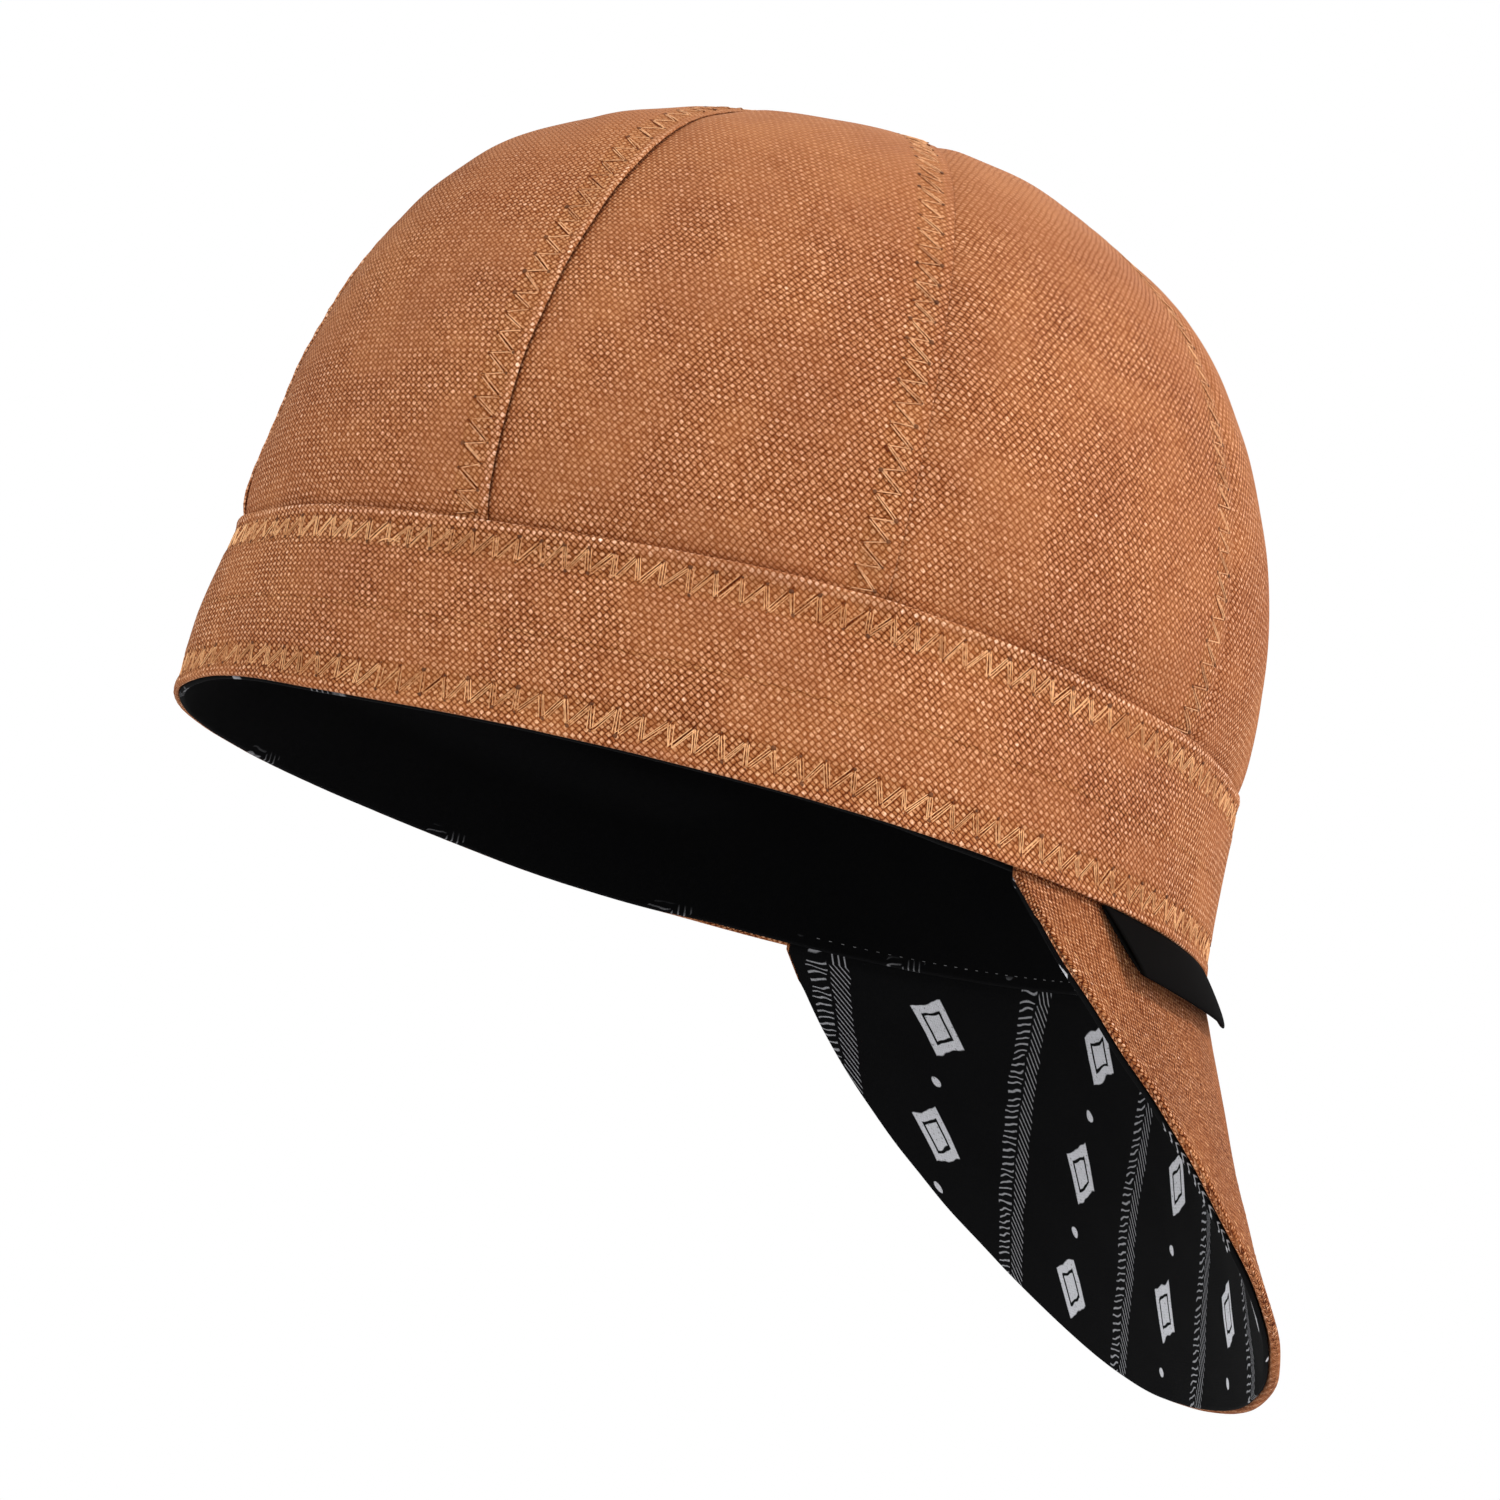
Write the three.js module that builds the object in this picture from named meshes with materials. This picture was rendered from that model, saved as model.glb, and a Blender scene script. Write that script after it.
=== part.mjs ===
// Welding cap: eight lapped canvas panels, a band, a curved bill with its lining, a cap lining and a blank label.
// Millimetres, +Z up. The origin is the middle of the head opening, in the plane of the band's lower edge.
// -Y is the forehead, +Y the back of the head where the bill hangs, +X the side that carries the label.
// Turns round the cap are angles from +Y towards +X. A rise of 0 to 1 climbs the band, and 1 to 2 the crown.
import * as THREE from "three";
import { mergeVertices } from "three/addons/utils/BufferGeometryUtils.js";

// Head opening, measured on the band's outer face
const rimHalfLength = 102;
const rimHalfWidth = 88;
const rimEggShape = 0.031;
const rimSquareness = 0.006;

// Band
const bandHeight = 35.4;
const bandLeanIn = 3;
const bandLeanOut = 2;
const bandWall = 1.2;
const bandRoll = 0.6;

// Crown, as a rounded dome above the band
const crownHeight = 105;
const crownShoulder = 3.5;
const crownCrest = 1.45;
const crownBulge = 0.09;
const crownSetForward = 2;
const crownTuck = 8;
const crownWall = 1.2;
const panelCount = 8;
const panelPuff = 0.8;
const panelLap = 7;
const lapRamp = 5;
const lapWidestShare = 0.3;
const apexHoleRadius = 0.6;

// Lining of the crown and band, which lies close to the band where nothing is tucked between them
const liningWall = 1;
const liningRimSetback = 0.6;
const liningRampHeight = 8;
const liningRampTurn = 7;

// Bill
const billReach = 81.5;
const billHalfTurn = 69;
const billOutlineRoundness = 2.35;
const billEndAngle = 4;
const billFlareMiddle = 21.5;
const billFlareGain = 21;
const billFanShare = 0.25;
const billTuck = 6;
const billWall = 1.8;
const billLiningWall = 1;
const billLiningSetback = 0.8;

// Label
const labelTurnFrom = 27;
const labelTurnTo = 57.5;
const labelDrop = 13;
const labelWall = 1;
const labelLiftFrom = 0.16;
const labelLiftTo = 0.04;

// Clearance between neighbouring layers of cloth
const layerGap = 0.3;

// Depths of the outer faces of the layers, inward from the outer face of the crown
const lapDepth = crownWall + layerGap;
const billDepth = 0;
const billLiningDepth = billDepth + billWall + layerGap;
const liningDepth = Math.max(lapDepth + crownWall, billLiningDepth + billLiningWall) + layerGap;
const underBand = bandWall + layerGap;

// Fineness of the meshes
const crownRows = 11;
const bandColumns = 72;
const liningColumns = 48;
const billColumns = 26;
const billRows = 7;
const labelColumns = 8;
const labelRows = 3;

// Rows of the band's section from the rim up: rise as a share of the height, swell as a share of the roll
const bandSection = [
  { rise: 0, swell: 0 },
  { rise: 0.06, swell: 0.4 },
  { rise: 0.16, swell: 0 },
  { rise: 0.5, swell: 0 },
  { rise: 0.88, swell: 0.1 },
  { rise: 0.95, swell: 1 },
  { rise: 1, swell: 0.5 },
];

// Columns of a panel between the two laps at its edges, as shares of the width there
const panelColumns = [0, 0.35, 0.7, 1];

const degree = Math.PI / 180;
const tableSteps = 720;
const slopeStep = 1e-4;
const nearEnough = 1e-6;

// The ring of the head opening at a turn, for given half axes
function ringPoint(turn, halfLength, halfWidth, height) {
  const shape = 1 - rimEggShape * Math.cos(3 * turn) + rimSquareness * Math.cos(4 * turn);
  return new THREE.Vector3(halfWidth * Math.sin(turn) * shape, halfLength * Math.cos(turn) * shape, height);
}

// Outer face of the crown cloth, which runs on down inside the band to the rim
function capPoint(turn, rise) {
  if (rise <= 1) {
    const halfLength = rimHalfLength - bandLeanIn * rise - underBand;
    const halfWidth = rimHalfWidth + bandLeanOut * rise - underBand;
    return ringPoint(turn, halfLength, halfWidth, bandHeight * rise);
  }
  const climb = Math.min(rise - 1, 1) * Math.PI / 2;
  const spread = Math.cos(climb) ** (2 / crownShoulder) * (1 + crownBulge * Math.sin(2 * climb));
  const lift = Math.sin(climb) ** (2 / crownCrest);
  const halfLength = (rimHalfLength - bandLeanIn - underBand) * spread;
  const halfWidth = (rimHalfWidth + bandLeanOut - underBand) * spread;
  const point = ringPoint(turn, halfLength, halfWidth, bandHeight + crownHeight * lift);
  point.y -= crownSetForward * lift;
  return point;
}

// Unit normal of a surface given as a function of two values, turned away from the cap's inside
function outwardNormal(surface, first, second) {
  const across = surface(first + slopeStep, second).sub(surface(first - slopeStep, second));
  const along = surface(first, second + slopeStep).sub(surface(first, second - slopeStep));
  return along.cross(across).normalize();
}

// A point at a depth under the cap's face
function layerPoint(turn, rise, depth) {
  if (rise >= 2) return capPoint(turn, rise).add(new THREE.Vector3(0, 0, -depth));
  return capPoint(turn, rise).addScaledVector(outwardNormal(capPoint, turn, rise), -depth);
}

// Lengths along a curve, as a table that turns a share of its length into the curve's own value
function lengthTable(curve, from, to) {
  const values = [from];
  const lengths = [0];
  let last = curve(from);
  for (let step = 1; step <= tableSteps; step += 1) {
    const value = from + (to - from) * step / tableSteps;
    const point = curve(value);
    values.push(value);
    lengths.push(lengths[step - 1] + point.distanceTo(last));
    last = point;
  }
  return { values, lengths, total: lengths[tableSteps] };
}

function valueAtShare(table, share) {
  const length = share * table.total;
  const next = Math.max(1, table.lengths.findIndex((reached) => reached >= length - nearEnough));
  const before = table.lengths[next - 1];
  const part = (length - before) / (table.lengths[next] - before);
  return THREE.MathUtils.lerp(table.values[next - 1], table.values[next], part);
}

const girthTable = lengthTable((turn) => capPoint(turn, 1), 0, 2 * Math.PI);
const meridianTable = lengthTable((rise) => capPoint(Math.PI / 2, rise), 1, 2);

// Turn at a share of the girth, which may run past one whole round
function turnAtGirth(share) {
  const rounds = Math.floor(share);
  return 2 * Math.PI * rounds + valueAtShare(girthTable, share - rounds);
}

// Rises of the crown's rows, evenly spaced along its meridian up to the top
const crownRises = Array.from({ length: crownRows + 1 }, (_, row) => valueAtShare(meridianTable, row / crownRows));

// One closed sheet from a front and a back grid of points, with edges where it doesn't close on itself
function sheetGeometry(front, back, { ring = false, apex = false } = {}) {
  const positions = [];
  const quad = (...corners) => {
    for (const picks of [[0, 1, 2], [0, 2, 3]]) {
      const [a, b, c] = picks.map((pick) => corners[pick]);
      if (a !== b && b !== c && c !== a) positions.push(...a.toArray(), ...b.toArray(), ...c.toArray());
    }
  };
  const rows = front.length;
  const columns = front[0].length;
  const spans = ring ? columns : columns - 1;
  const pick = (grid, row, column) => grid[row][apex && row === rows - 1 ? 0 : column % columns];
  for (let row = 0; row < rows - 1; row += 1) {
    for (let column = 0; column < spans; column += 1) {
      const around = [[row, column], [row + 1, column], [row + 1, column + 1], [row, column + 1]];
      quad(...around.map(([r, c]) => pick(front, r, c)));
      const [low, high, highNext, lowNext] = around.map(([r, c]) => pick(back, r, c));
      quad(low, lowNext, highNext, high);
    }
  }
  for (let column = 0; column < spans; column += 1) {
    quad(pick(front, 0, column), pick(front, 0, column + 1), pick(back, 0, column + 1), pick(back, 0, column));
    if (apex) continue;
    const top = rows - 1;
    quad(pick(front, top, column + 1), pick(front, top, column), pick(back, top, column), pick(back, top, column + 1));
  }
  for (let row = 0; !ring && row < rows - 1; row += 1) {
    const end = columns - 1;
    quad(pick(front, row + 1, 0), pick(front, row, 0), pick(back, row, 0), pick(back, row + 1, 0));
    quad(pick(front, row, end), pick(front, row + 1, end), pick(back, row + 1, end), pick(back, row, end));
  }
  const geometry = new THREE.BufferGeometry();
  geometry.setAttribute("position", new THREE.Float32BufferAttribute(positions, 3));
  const merged = mergeVertices(geometry);
  merged.computeVertexNormals();
  return merged;
}

// A grid of points, one row for each of the first values and one column for each of the second
function grid(rowValues, columnValues, pointAt) {
  return rowValues.map((rowValue) => columnValues.map((columnValue) => pointAt(columnValue, rowValue)));
}

function evenValues(from, to, spans) {
  return Array.from({ length: spans + 1 }, (_, step) => THREE.MathUtils.lerp(from, to, step / spans));
}

function ringTurns(columns) {
  return evenValues(0, 2 * Math.PI, columns).slice(0, columns);
}

// Crown panels. A panel's low edge lies on top at its seam, and its high edge dips under the next panel.
const panelRises = [1 - crownTuck / bandHeight, ...crownRises.slice(0, crownRows)];

function panelWidth(panel, rise) {
  const low = capPoint(turnAtGirth(panel / panelCount), rise);
  return low.distanceTo(capPoint(turnAtGirth((panel + 1) / panelCount), rise));
}

// The panel's columns at one row: place across the panel, how far it has dipped, and how far it puffs
function panelStations(panel, rise) {
  const width = panelWidth(panel, rise);
  const lap = Math.min(panelLap / width, lapWidestShare);
  const ramp = Math.min(lapRamp / width, lapWidestShare);
  const clear = Math.min(layerGap / width, lapWidestShare / 2);
  const flatShare = 1 - clear - ramp;
  const puff = panelPuff * Math.sin(Math.PI * THREE.MathUtils.clamp(rise - 1, 0, 1));
  const flat = panelColumns.map((share) => ({
    across: THREE.MathUtils.lerp(lap, flatShare, share),
    depth: -puff * Math.sin(Math.PI * share),
  }));
  const fold = { across: 0, depth: 0 };
  return [fold, ...flat, { across: 1 - clear, depth: lapDepth }, { across: 1 + lap, depth: lapDepth }];
}

function panelPoint(panel, rise, station, wall) {
  const turn = turnAtGirth((panel + station.across) / panelCount);
  return layerPoint(turn, rise, station.depth + wall);
}

// The last row stops just short of the top, so that the panels' tips stay clear of each other
function apexRise() {
  const topRow = crownRises[crownRows - 1];
  const radius = (rise) => capPoint(Math.PI / 2, rise).x;
  let low = topRow;
  let high = 2;
  while (high - low > nearEnough) {
    const middle = (low + high) / 2;
    if (radius(middle) > apexHoleRadius) low = middle;
    else high = middle;
  }
  return low;
}

function crownPanel(panel) {
  const rises = [...panelRises, apexRise()];
  const face = (wall) => rises.map((rise) => panelStations(panel, rise).map(
    (station) => panelPoint(panel, rise, station, wall)));
  return sheetGeometry(face(0), face(crownWall));
}

// Band, outside the crown's lower edge, with a soft roll along its top and a slight one at the rim
const bandTopRise = 1 - layerGap / bandHeight;

function band() {
  const turns = ringTurns(bandColumns);
  const outer = bandSection.map(({ rise, swell }) => turns.map(
    (turn) => layerPoint(turn, rise * bandTopRise, -underBand - swell * bandRoll)));
  const inner = bandSection.map(({ rise }) => turns.map((turn) => layerPoint(turn, rise * bandTopRise, -layerGap)));
  return sheetGeometry(outer, inner, { ring: true });
}

// Lining, one dome from the rim to the top, set in behind the crown's lower edge and behind the bill
const liningCrownRise = 1 - (crownTuck + layerGap) / bandHeight;
const liningBandRise = liningCrownRise - liningRampHeight / bandHeight;

function liningDepthAt(turn, rise) {
  const fromBack = Math.abs(Math.atan2(Math.sin(turn), Math.cos(turn))) / degree;
  const clearOfBill = billHalfTurn + 2 * Math.PI / liningColumns / degree;
  const behindCrown = THREE.MathUtils.clamp((rise - liningBandRise) / (liningCrownRise - liningBandRise), 0, 1);
  const behindBill = 1 - THREE.MathUtils.clamp((fromBack - clearOfBill) / liningRampTurn, 0, 1);
  return liningDepth * Math.max(behindCrown, behindBill);
}

function lining() {
  const rises = [liningRimSetback / bandHeight, liningBandRise, liningCrownRise, ...crownRises];
  const turns = ringTurns(liningColumns);
  const face = (wall) => grid(rises, turns, (turn, rise) => layerPoint(turn, rise, liningDepthAt(turn, rise) + wall));
  return sheetGeometry(face(0), face(liningWall), { ring: true, apex: true });
}

// Bill, a tongue that fans out and down from just under the band's inner edge
function billPoint(turn, drop) {
  const share = Math.min(Math.abs(turn) / (billHalfTurn * degree), 1);
  const flare = (billFlareMiddle + billFlareGain * share * share) * degree;
  const heading = billFanShare * turn;
  const outward = Math.sin(flare) * drop;
  const root = capPoint(turn, 0);
  return new THREE.Vector3(
    root.x + Math.sin(heading) * outward,
    root.y + Math.cos(heading) * outward,
    -layerGap - Math.cos(flare) * drop,
  );
}

// Outline of the bill: the turn and the full drop at an angle along its round edge
function billOutline(along, reach, halfTurn) {
  const side = Math.cos(along);
  const power = 2 / billOutlineRoundness;
  return {
    turn: -Math.sign(side) * Math.abs(side) ** power * halfTurn * degree,
    drop: reach * Math.sin(along) ** power,
  };
}

// Faces of a bill layer: a row tucked up behind the band, a row at the rim, and the free rows
function billLayer(setback, depth, wall) {
  const halfTurn = billHalfTurn - setback / (rimHalfLength * degree);
  const columns = evenValues(billEndAngle * degree, Math.PI - billEndAngle * degree, billColumns);
  const drops = evenValues(0, 1, billRows);
  const face = (layer) => {
    const outline = columns.map((along) => billOutline(along, billReach - setback, halfTurn));
    const tucked = outline.map(({ turn }) => layerPoint(turn, billTuck / bandHeight, layer));
    const root = outline.map(({ turn }) => {
      const point = layerPoint(turn, 0, layer);
      point.z = -layerGap;
      return point;
    });
    const free = drops.slice(1).map((share) => outline.map(({ turn, drop }) => {
      const point = billPoint(turn, drop * share);
      return point.addScaledVector(outwardNormal(billPoint, turn, drop * share).negate(), -layer);
    }));
    return [tucked, root, ...free].reverse();
  };
  return sheetGeometry(face(depth), face(depth + wall));
}

// Label, a thin tab that hangs from the band's lower edge just outside the bill
function label() {
  const turns = evenValues(labelTurnFrom * degree, labelTurnTo * degree, labelColumns);
  const drops = evenValues(labelDrop, 0, labelRows);
  const face = (wall) => grid(drops, turns, (turn, drop) => {
    const across = THREE.MathUtils.inverseLerp(labelTurnFrom, labelTurnTo, turn / degree);
    const lift = THREE.MathUtils.lerp(labelLiftFrom, labelLiftTo, across);
    const outward = outwardNormal(capPoint, turn, 0).setZ(0).normalize();
    return billPoint(turn, drop).addScaledVector(outward, layerGap + labelWall - wall + lift * drop);
  });
  return sheetGeometry(face(0), face(labelWall));
}

const canvas = { color: 0xa8683f, roughness: 0.9, metalness: 0 };
const blackCloth = { color: 0x141416, roughness: 0.85, metalness: 0 };
const blackTape = { color: 0x18181a, roughness: 0.6, metalness: 0 };

const cap = new THREE.Group();

function addPiece(name, geometry, look) {
  const piece = new THREE.Mesh(geometry, new THREE.MeshStandardMaterial(look));
  piece.name = name;
  cap.add(piece);
}

for (let panel = 0; panel < panelCount; panel += 1) addPiece(`crown_panel_${panel + 1}`, crownPanel(panel), canvas);
addPiece("band", band(), canvas);
addPiece("lining", lining(), blackCloth);
addPiece("bill", billLayer(0, billDepth, billWall), canvas);
addPiece("bill_lining", billLayer(billLiningSetback, billLiningDepth, billLiningWall), blackCloth);
addPiece("label", label(), blackTape);

export default cap;
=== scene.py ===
# Welding cap: sewn cloth, threads and a printed lining over the cap's fixed frame, in metres.
# -Y is the forehead, +Y the back of the head where the bill hangs, +X the side that carries the label.
# Turns round the cap are angles from +Y towards +X. A rise of 0 to 1 climbs the band, and 1 to 2 the crown.
import bpy
import numpy as np
from mathutils import Matrix, Vector


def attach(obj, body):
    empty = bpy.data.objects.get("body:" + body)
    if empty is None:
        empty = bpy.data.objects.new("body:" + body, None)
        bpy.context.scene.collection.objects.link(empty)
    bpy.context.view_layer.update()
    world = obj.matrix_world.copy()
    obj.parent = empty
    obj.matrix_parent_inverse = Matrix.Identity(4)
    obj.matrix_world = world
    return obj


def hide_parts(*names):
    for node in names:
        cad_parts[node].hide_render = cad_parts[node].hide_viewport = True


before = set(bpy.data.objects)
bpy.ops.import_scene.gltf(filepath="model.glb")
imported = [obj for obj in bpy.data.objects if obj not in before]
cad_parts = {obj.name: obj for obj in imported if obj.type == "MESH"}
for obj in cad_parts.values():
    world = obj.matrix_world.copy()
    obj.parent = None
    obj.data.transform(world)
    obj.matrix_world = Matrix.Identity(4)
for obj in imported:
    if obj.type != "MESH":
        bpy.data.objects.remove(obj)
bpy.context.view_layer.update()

mm = 0.001
degree = np.pi / 180
full_turn = 2 * np.pi

# Head opening, measured on the band's outer face
rim_half_length = 102 * mm
rim_half_width = 88 * mm
rim_egg_shape = 0.031
rim_squareness = 0.006

# Band
band_height = 35.4 * mm
band_lean_in = 3 * mm
band_lean_out = 2 * mm
band_wall = 0.75 * mm
band_stand = 0.95 * mm
band_climb = 1.7 * mm
band_climb_turn = 88 * degree
band_climb_half_turn = 26 * degree
# Where the rim hangs under its usual level, or over it: turn, half turn, depth
rim_droops = [(263 * degree, 15 * degree, 0.7 * mm), (164 * degree, 14 * degree, -1.6 * mm)]

# Crown
crown_height = 105 * mm
crown_shoulder = 3.5
crown_crest = 1.45
crown_bulge = 0.09
crown_set_forward = 2 * mm
crown_tuck = 8 * mm
crown_wall = 0.6 * mm
panel_count = 8
panel_puff = 0.8 * mm
panel_lap = 7 * mm
lap_ramp = 5 * mm
lap_widest_share = 0.3
apex_hole_radius = 0.6 * mm

# Lining
lining_wall = 1 * mm
lining_rim_setback = -0.25 * mm
lining_ramp_height = 8 * mm
lining_ramp_turn = 7 * degree

# Bill
bill_reach = 81.5 * mm
bill_half_turn = 69 * degree
bill_roundness = 2.35
bill_end_angle = 4 * degree
bill_flare_middle = 21.5 * degree
bill_flare_gain = 21 * degree
bill_fan_share = 0.25
bill_tuck = 6 * mm
bill_wall = 1.8 * mm
bill_lining_wall = 1 * mm
bill_lining_setback = 0.8 * mm

# Label
label_turn_from = 27 * degree
label_turn_to = 57.5 * degree
label_drop = 13 * mm
label_wall = 0.5 * mm
label_stand = 0.75 * mm

# Layers of cloth, as depths of their outer faces under the outer face of the crown
layer_gap = 0.3 * mm
lap_clear = 0.08 * mm
lap_depth = crown_wall + lap_clear
bill_lining_depth = bill_wall + layer_gap
lining_depth = 3.4 * mm
under_band = 1.5 * mm

# Stitching
crown_stitch_period = 4.3 * mm
crown_stitch_middle = 4.4 * mm
crown_stitch_reach = 2.3 * mm
crown_stitch_lean = 0.78
crown_stitch_end = 18 * mm
band_stitch_period = 4.5 * mm
band_stitch_reach = 2.3 * mm
band_stitch_lean = 0.23
band_top_stitch_height = 30.6 * mm
band_rim_stitch_height = 4.3 * mm
thread_radius = 0.095 * mm
crown_thread_radius = 0.112 * mm
hole_radius = 0.42 * mm
hole_spread = (0.1, 1.15)

# Cloth
thread_pitches = (1.03 * mm, 0.72 * mm)
weave_slant = 33 * degree
under_share = 0.42
bill_thread_pitches = (0.6 * mm, 0.6 * mm)
lining_pitches = (0.4 * mm, 0.4 * mm)
label_thread_pitches = (0.3 * mm, 0.3 * mm)


# Shapes

def soft_step(value, low, high):
    share = np.clip((value - low) / (high - low), 0, 1)
    return share * share * (3 - 2 * share)


def bell(value, middle, width):
    return np.exp(-((value - middle) / width) ** 2)


def ring_points(turn, half_length, half_width, height):
    shape = 1 - rim_egg_shape * np.cos(3 * turn) + rim_squareness * np.cos(4 * turn)
    across = half_width * np.sin(turn) * shape
    along = half_length * np.cos(turn) * shape
    return np.stack([across, along, height], -1)


def cap_points(turn, rise):
    """Outer face of the crown cloth, which runs on down inside the band to the rim."""
    turn, rise = np.broadcast_arrays(np.asarray(turn, float), np.asarray(rise, float))
    on_band = np.minimum(rise, 1)
    climb = np.clip(rise - 1, 0, 1) * np.pi / 2
    spread = np.clip(np.cos(climb), 0, 1) ** (2 / crown_shoulder) * (1 + crown_bulge * np.sin(2 * climb))
    lift = np.sin(climb) ** (2 / crown_crest)
    half_length = (rim_half_length - band_lean_in * on_band - under_band) * spread
    half_width = (rim_half_width + band_lean_out * on_band - under_band) * spread
    points = ring_points(turn, half_length, half_width, band_height * on_band + crown_height * lift)
    points[..., 1] -= crown_set_forward * lift
    return points


def band_climb_at(turn):
    """How far the band's upper edge climbs over its usual height."""
    return band_climb * bell(turn, band_climb_turn, band_climb_half_turn)


def rim_droop_at(turn):
    """How far the band's lower edge hangs under its usual level."""
    return sum(depth * bell(turn, middle, half) for middle, half, depth in rim_droops)


def rise_at(height):
    """The rise of a height over the rim, on the band or a little above it."""
    above = np.clip((height - band_height) / crown_height, 0, 1)
    return np.minimum(height / band_height, 1) + np.arcsin(above ** (crown_crest / 2)) * 2 / np.pi


def normals_of(surface, first, second, step=1e-4):
    across = surface(first + step, second) - surface(first - step, second)
    along = surface(first, second + step) - surface(first, second - step)
    normal = np.cross(along, across)
    return normal / np.maximum(np.linalg.norm(normal, axis=-1, keepdims=True), 1e-15)


def cap_normals(turn, rise):
    turn, rise = np.broadcast_arrays(np.asarray(turn, float), np.asarray(rise, float))
    return normals_of(cap_points, turn, np.minimum(rise, 2 - 2e-4))


def length_table(curve, start, end, steps=1440):
    values = np.linspace(start, end, steps + 1)
    pieces = np.linalg.norm(np.diff(curve(values), axis=0), axis=1)
    return values, np.concatenate([[0], np.cumsum(pieces)])


girth_turns, girth_lengths = length_table(lambda turn: cap_points(turn, 1), 0, full_turn)
girth = girth_lengths[-1]


def turn_at_share(share):
    rounds = np.floor(share)
    return full_turn * rounds + np.interp((share - rounds) * girth, girth_lengths, girth_turns)


def meridian(turn):
    """Rises and the lengths from the band's top up to them, at one turn."""
    return length_table(lambda rise: cap_points(turn, rise), 1, 2)


side_rises, side_lengths = meridian(np.pi / 2)


# Unevenness of worn cloth, the same for all the layers at one place: waves of two lengths and heights

soft_waves = np.random.default_rng(7)
wave_count = 9
wave_headings = soft_waves.normal(size=(wave_count, 3))
wave_headings /= np.linalg.norm(wave_headings, axis=1, keepdims=True)
wave_phases = soft_waves.uniform(0, full_turn, wave_count)
wave_lengths = soft_waves.uniform(0.7, 1.4, wave_count)


wave_sizes = ((62 * mm, 0.42 * mm), (17 * mm, 0.13 * mm))


def unevenness(points):
    total = 0
    for size, height in wave_sizes:
        waves = np.sin(full_turn * (points @ wave_headings.T) / (size * wave_lengths) + wave_phases)
        total = total + height * (waves.sum(-1) / np.sqrt(wave_count))
    return total


# Dents and creases: girth share and rise of both ends, half width, depth
dents = [
    ("flat forehead", 0.53, 1.18, 0.5, 1.28, 26 * mm, 1.9 * mm),
    ("fuller band at the forehead", 0.5, 0.5, 0.5, 1.0, 13 * mm, -2.3 * mm),
    ("softer brow of the top", 0.448, 1.72, 0.436, 1.78, 11 * mm, 1 * mm),
    ("fuller front of the top", 0.54, 1.56, 0.5, 1.6, 26 * mm, -0.3 * mm),
    ("flatter top", 0.03, 1.8, 0.03, 1.84, 16 * mm, 1.2 * mm),
    ("fuller foot of the back", 0.03, 1.04, 0.1, 1.12, 13 * mm, -0.9 * mm),
    ("flatter back of the top", 0.04, 1.3, 0.06, 1.76, 26 * mm, 2.3 * mm),
    ("fuller band top at the back", 0.05, 0.98, 0.03, 1.04, 12 * mm, -1.3 * mm),
    ("foot of seam 2", 0.262, 1.05, 0.262, 1.09, 6 * mm, 1.1 * mm),
    ("right of seam 2", 0.238, 1.06, 0.241, 1.2, 3.5 * mm, 0.7 * mm),
    ("above the band at the side", 0.235, 1.05, 0.15, 1.05, 6 * mm, 0.9 * mm),
    ("above the band at the back", 0.1, 1.06, 0.02, 1.06, 7 * mm, 0.8 * mm),
    ("left panel", 0.43, 1.25, 0.4, 1.5, 14 * mm, 0.5 * mm),
    ("flatter side of the top", 0.15, 1.66, 0.16, 1.72, 13 * mm, 1.3 * mm),
]


def dent_depth(points):
    total = np.zeros(points.shape[:-1])
    for _, share_a, rise_a, share_b, rise_b, width, depth in dents:
        start = cap_points(turn_at_share(share_a), rise_a)
        span = cap_points(turn_at_share(share_b), rise_b) - start
        along = np.clip((points - start) @ span / max(span @ span, 1e-12), 0, 1)
        away = np.linalg.norm(points - start - along[..., None] * span, axis=-1)
        total += depth * np.exp(-(away / width) ** 2)
    return total


def skin(turn, rise, height, highest=2):
    """The cap's face with its dents, raised by a height. Over the highest rise its normals turn no more."""
    points = cap_points(turn, rise)
    offset = height + unevenness(points) - dent_depth(points)
    return points + cap_normals(turn, np.minimum(rise, highest)) * offset[..., None]


def rounded(distance, radius):
    """How far a face falls towards a round edge, at a distance from that edge."""
    inside = np.clip(radius - distance, 0, radius)
    return radius - np.sqrt(np.maximum(radius ** 2 - inside ** 2, 0))


# Meshes

# How far the weave runs on round a cloth's cut edge
edge_length = 1 * mm


def in_scene(name, data):
    made = bpy.data.objects.new(name, data)
    bpy.context.scene.collection.objects.link(made)
    return made


def make_object(name, points, faces, material, corners=None, uvs=(), painted_light_wear_and_ink=None):
    mesh = bpy.data.meshes.new(name)
    mesh.from_pydata(points.reshape(-1, 3).tolist(), [], faces)
    for layer_name, values in uvs:
        layer = mesh.uv_layers.new(name=layer_name)
        layer.uv.foreach_set("vector", values.reshape(-1, 2)[corners].astype(np.float32).ravel())
    # This attribute holds painted highlights and painted shade on the canvas, with some wear at the folds, and
    # the amount of print on the lining
    if painted_light_wear_and_ink is not None:
        attribute = mesh.attributes.new("painted_light_wear_and_ink", "FLOAT", "POINT")
        attribute.data.foreach_set("value", painted_light_wear_and_ink.astype(np.float32).ravel())
    mesh.polygons.foreach_set("use_smooth", [True] * len(mesh.polygons))
    mesh.materials.append(material)
    piece = in_scene(name, mesh)
    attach(piece, "root")
    return piece


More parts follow.
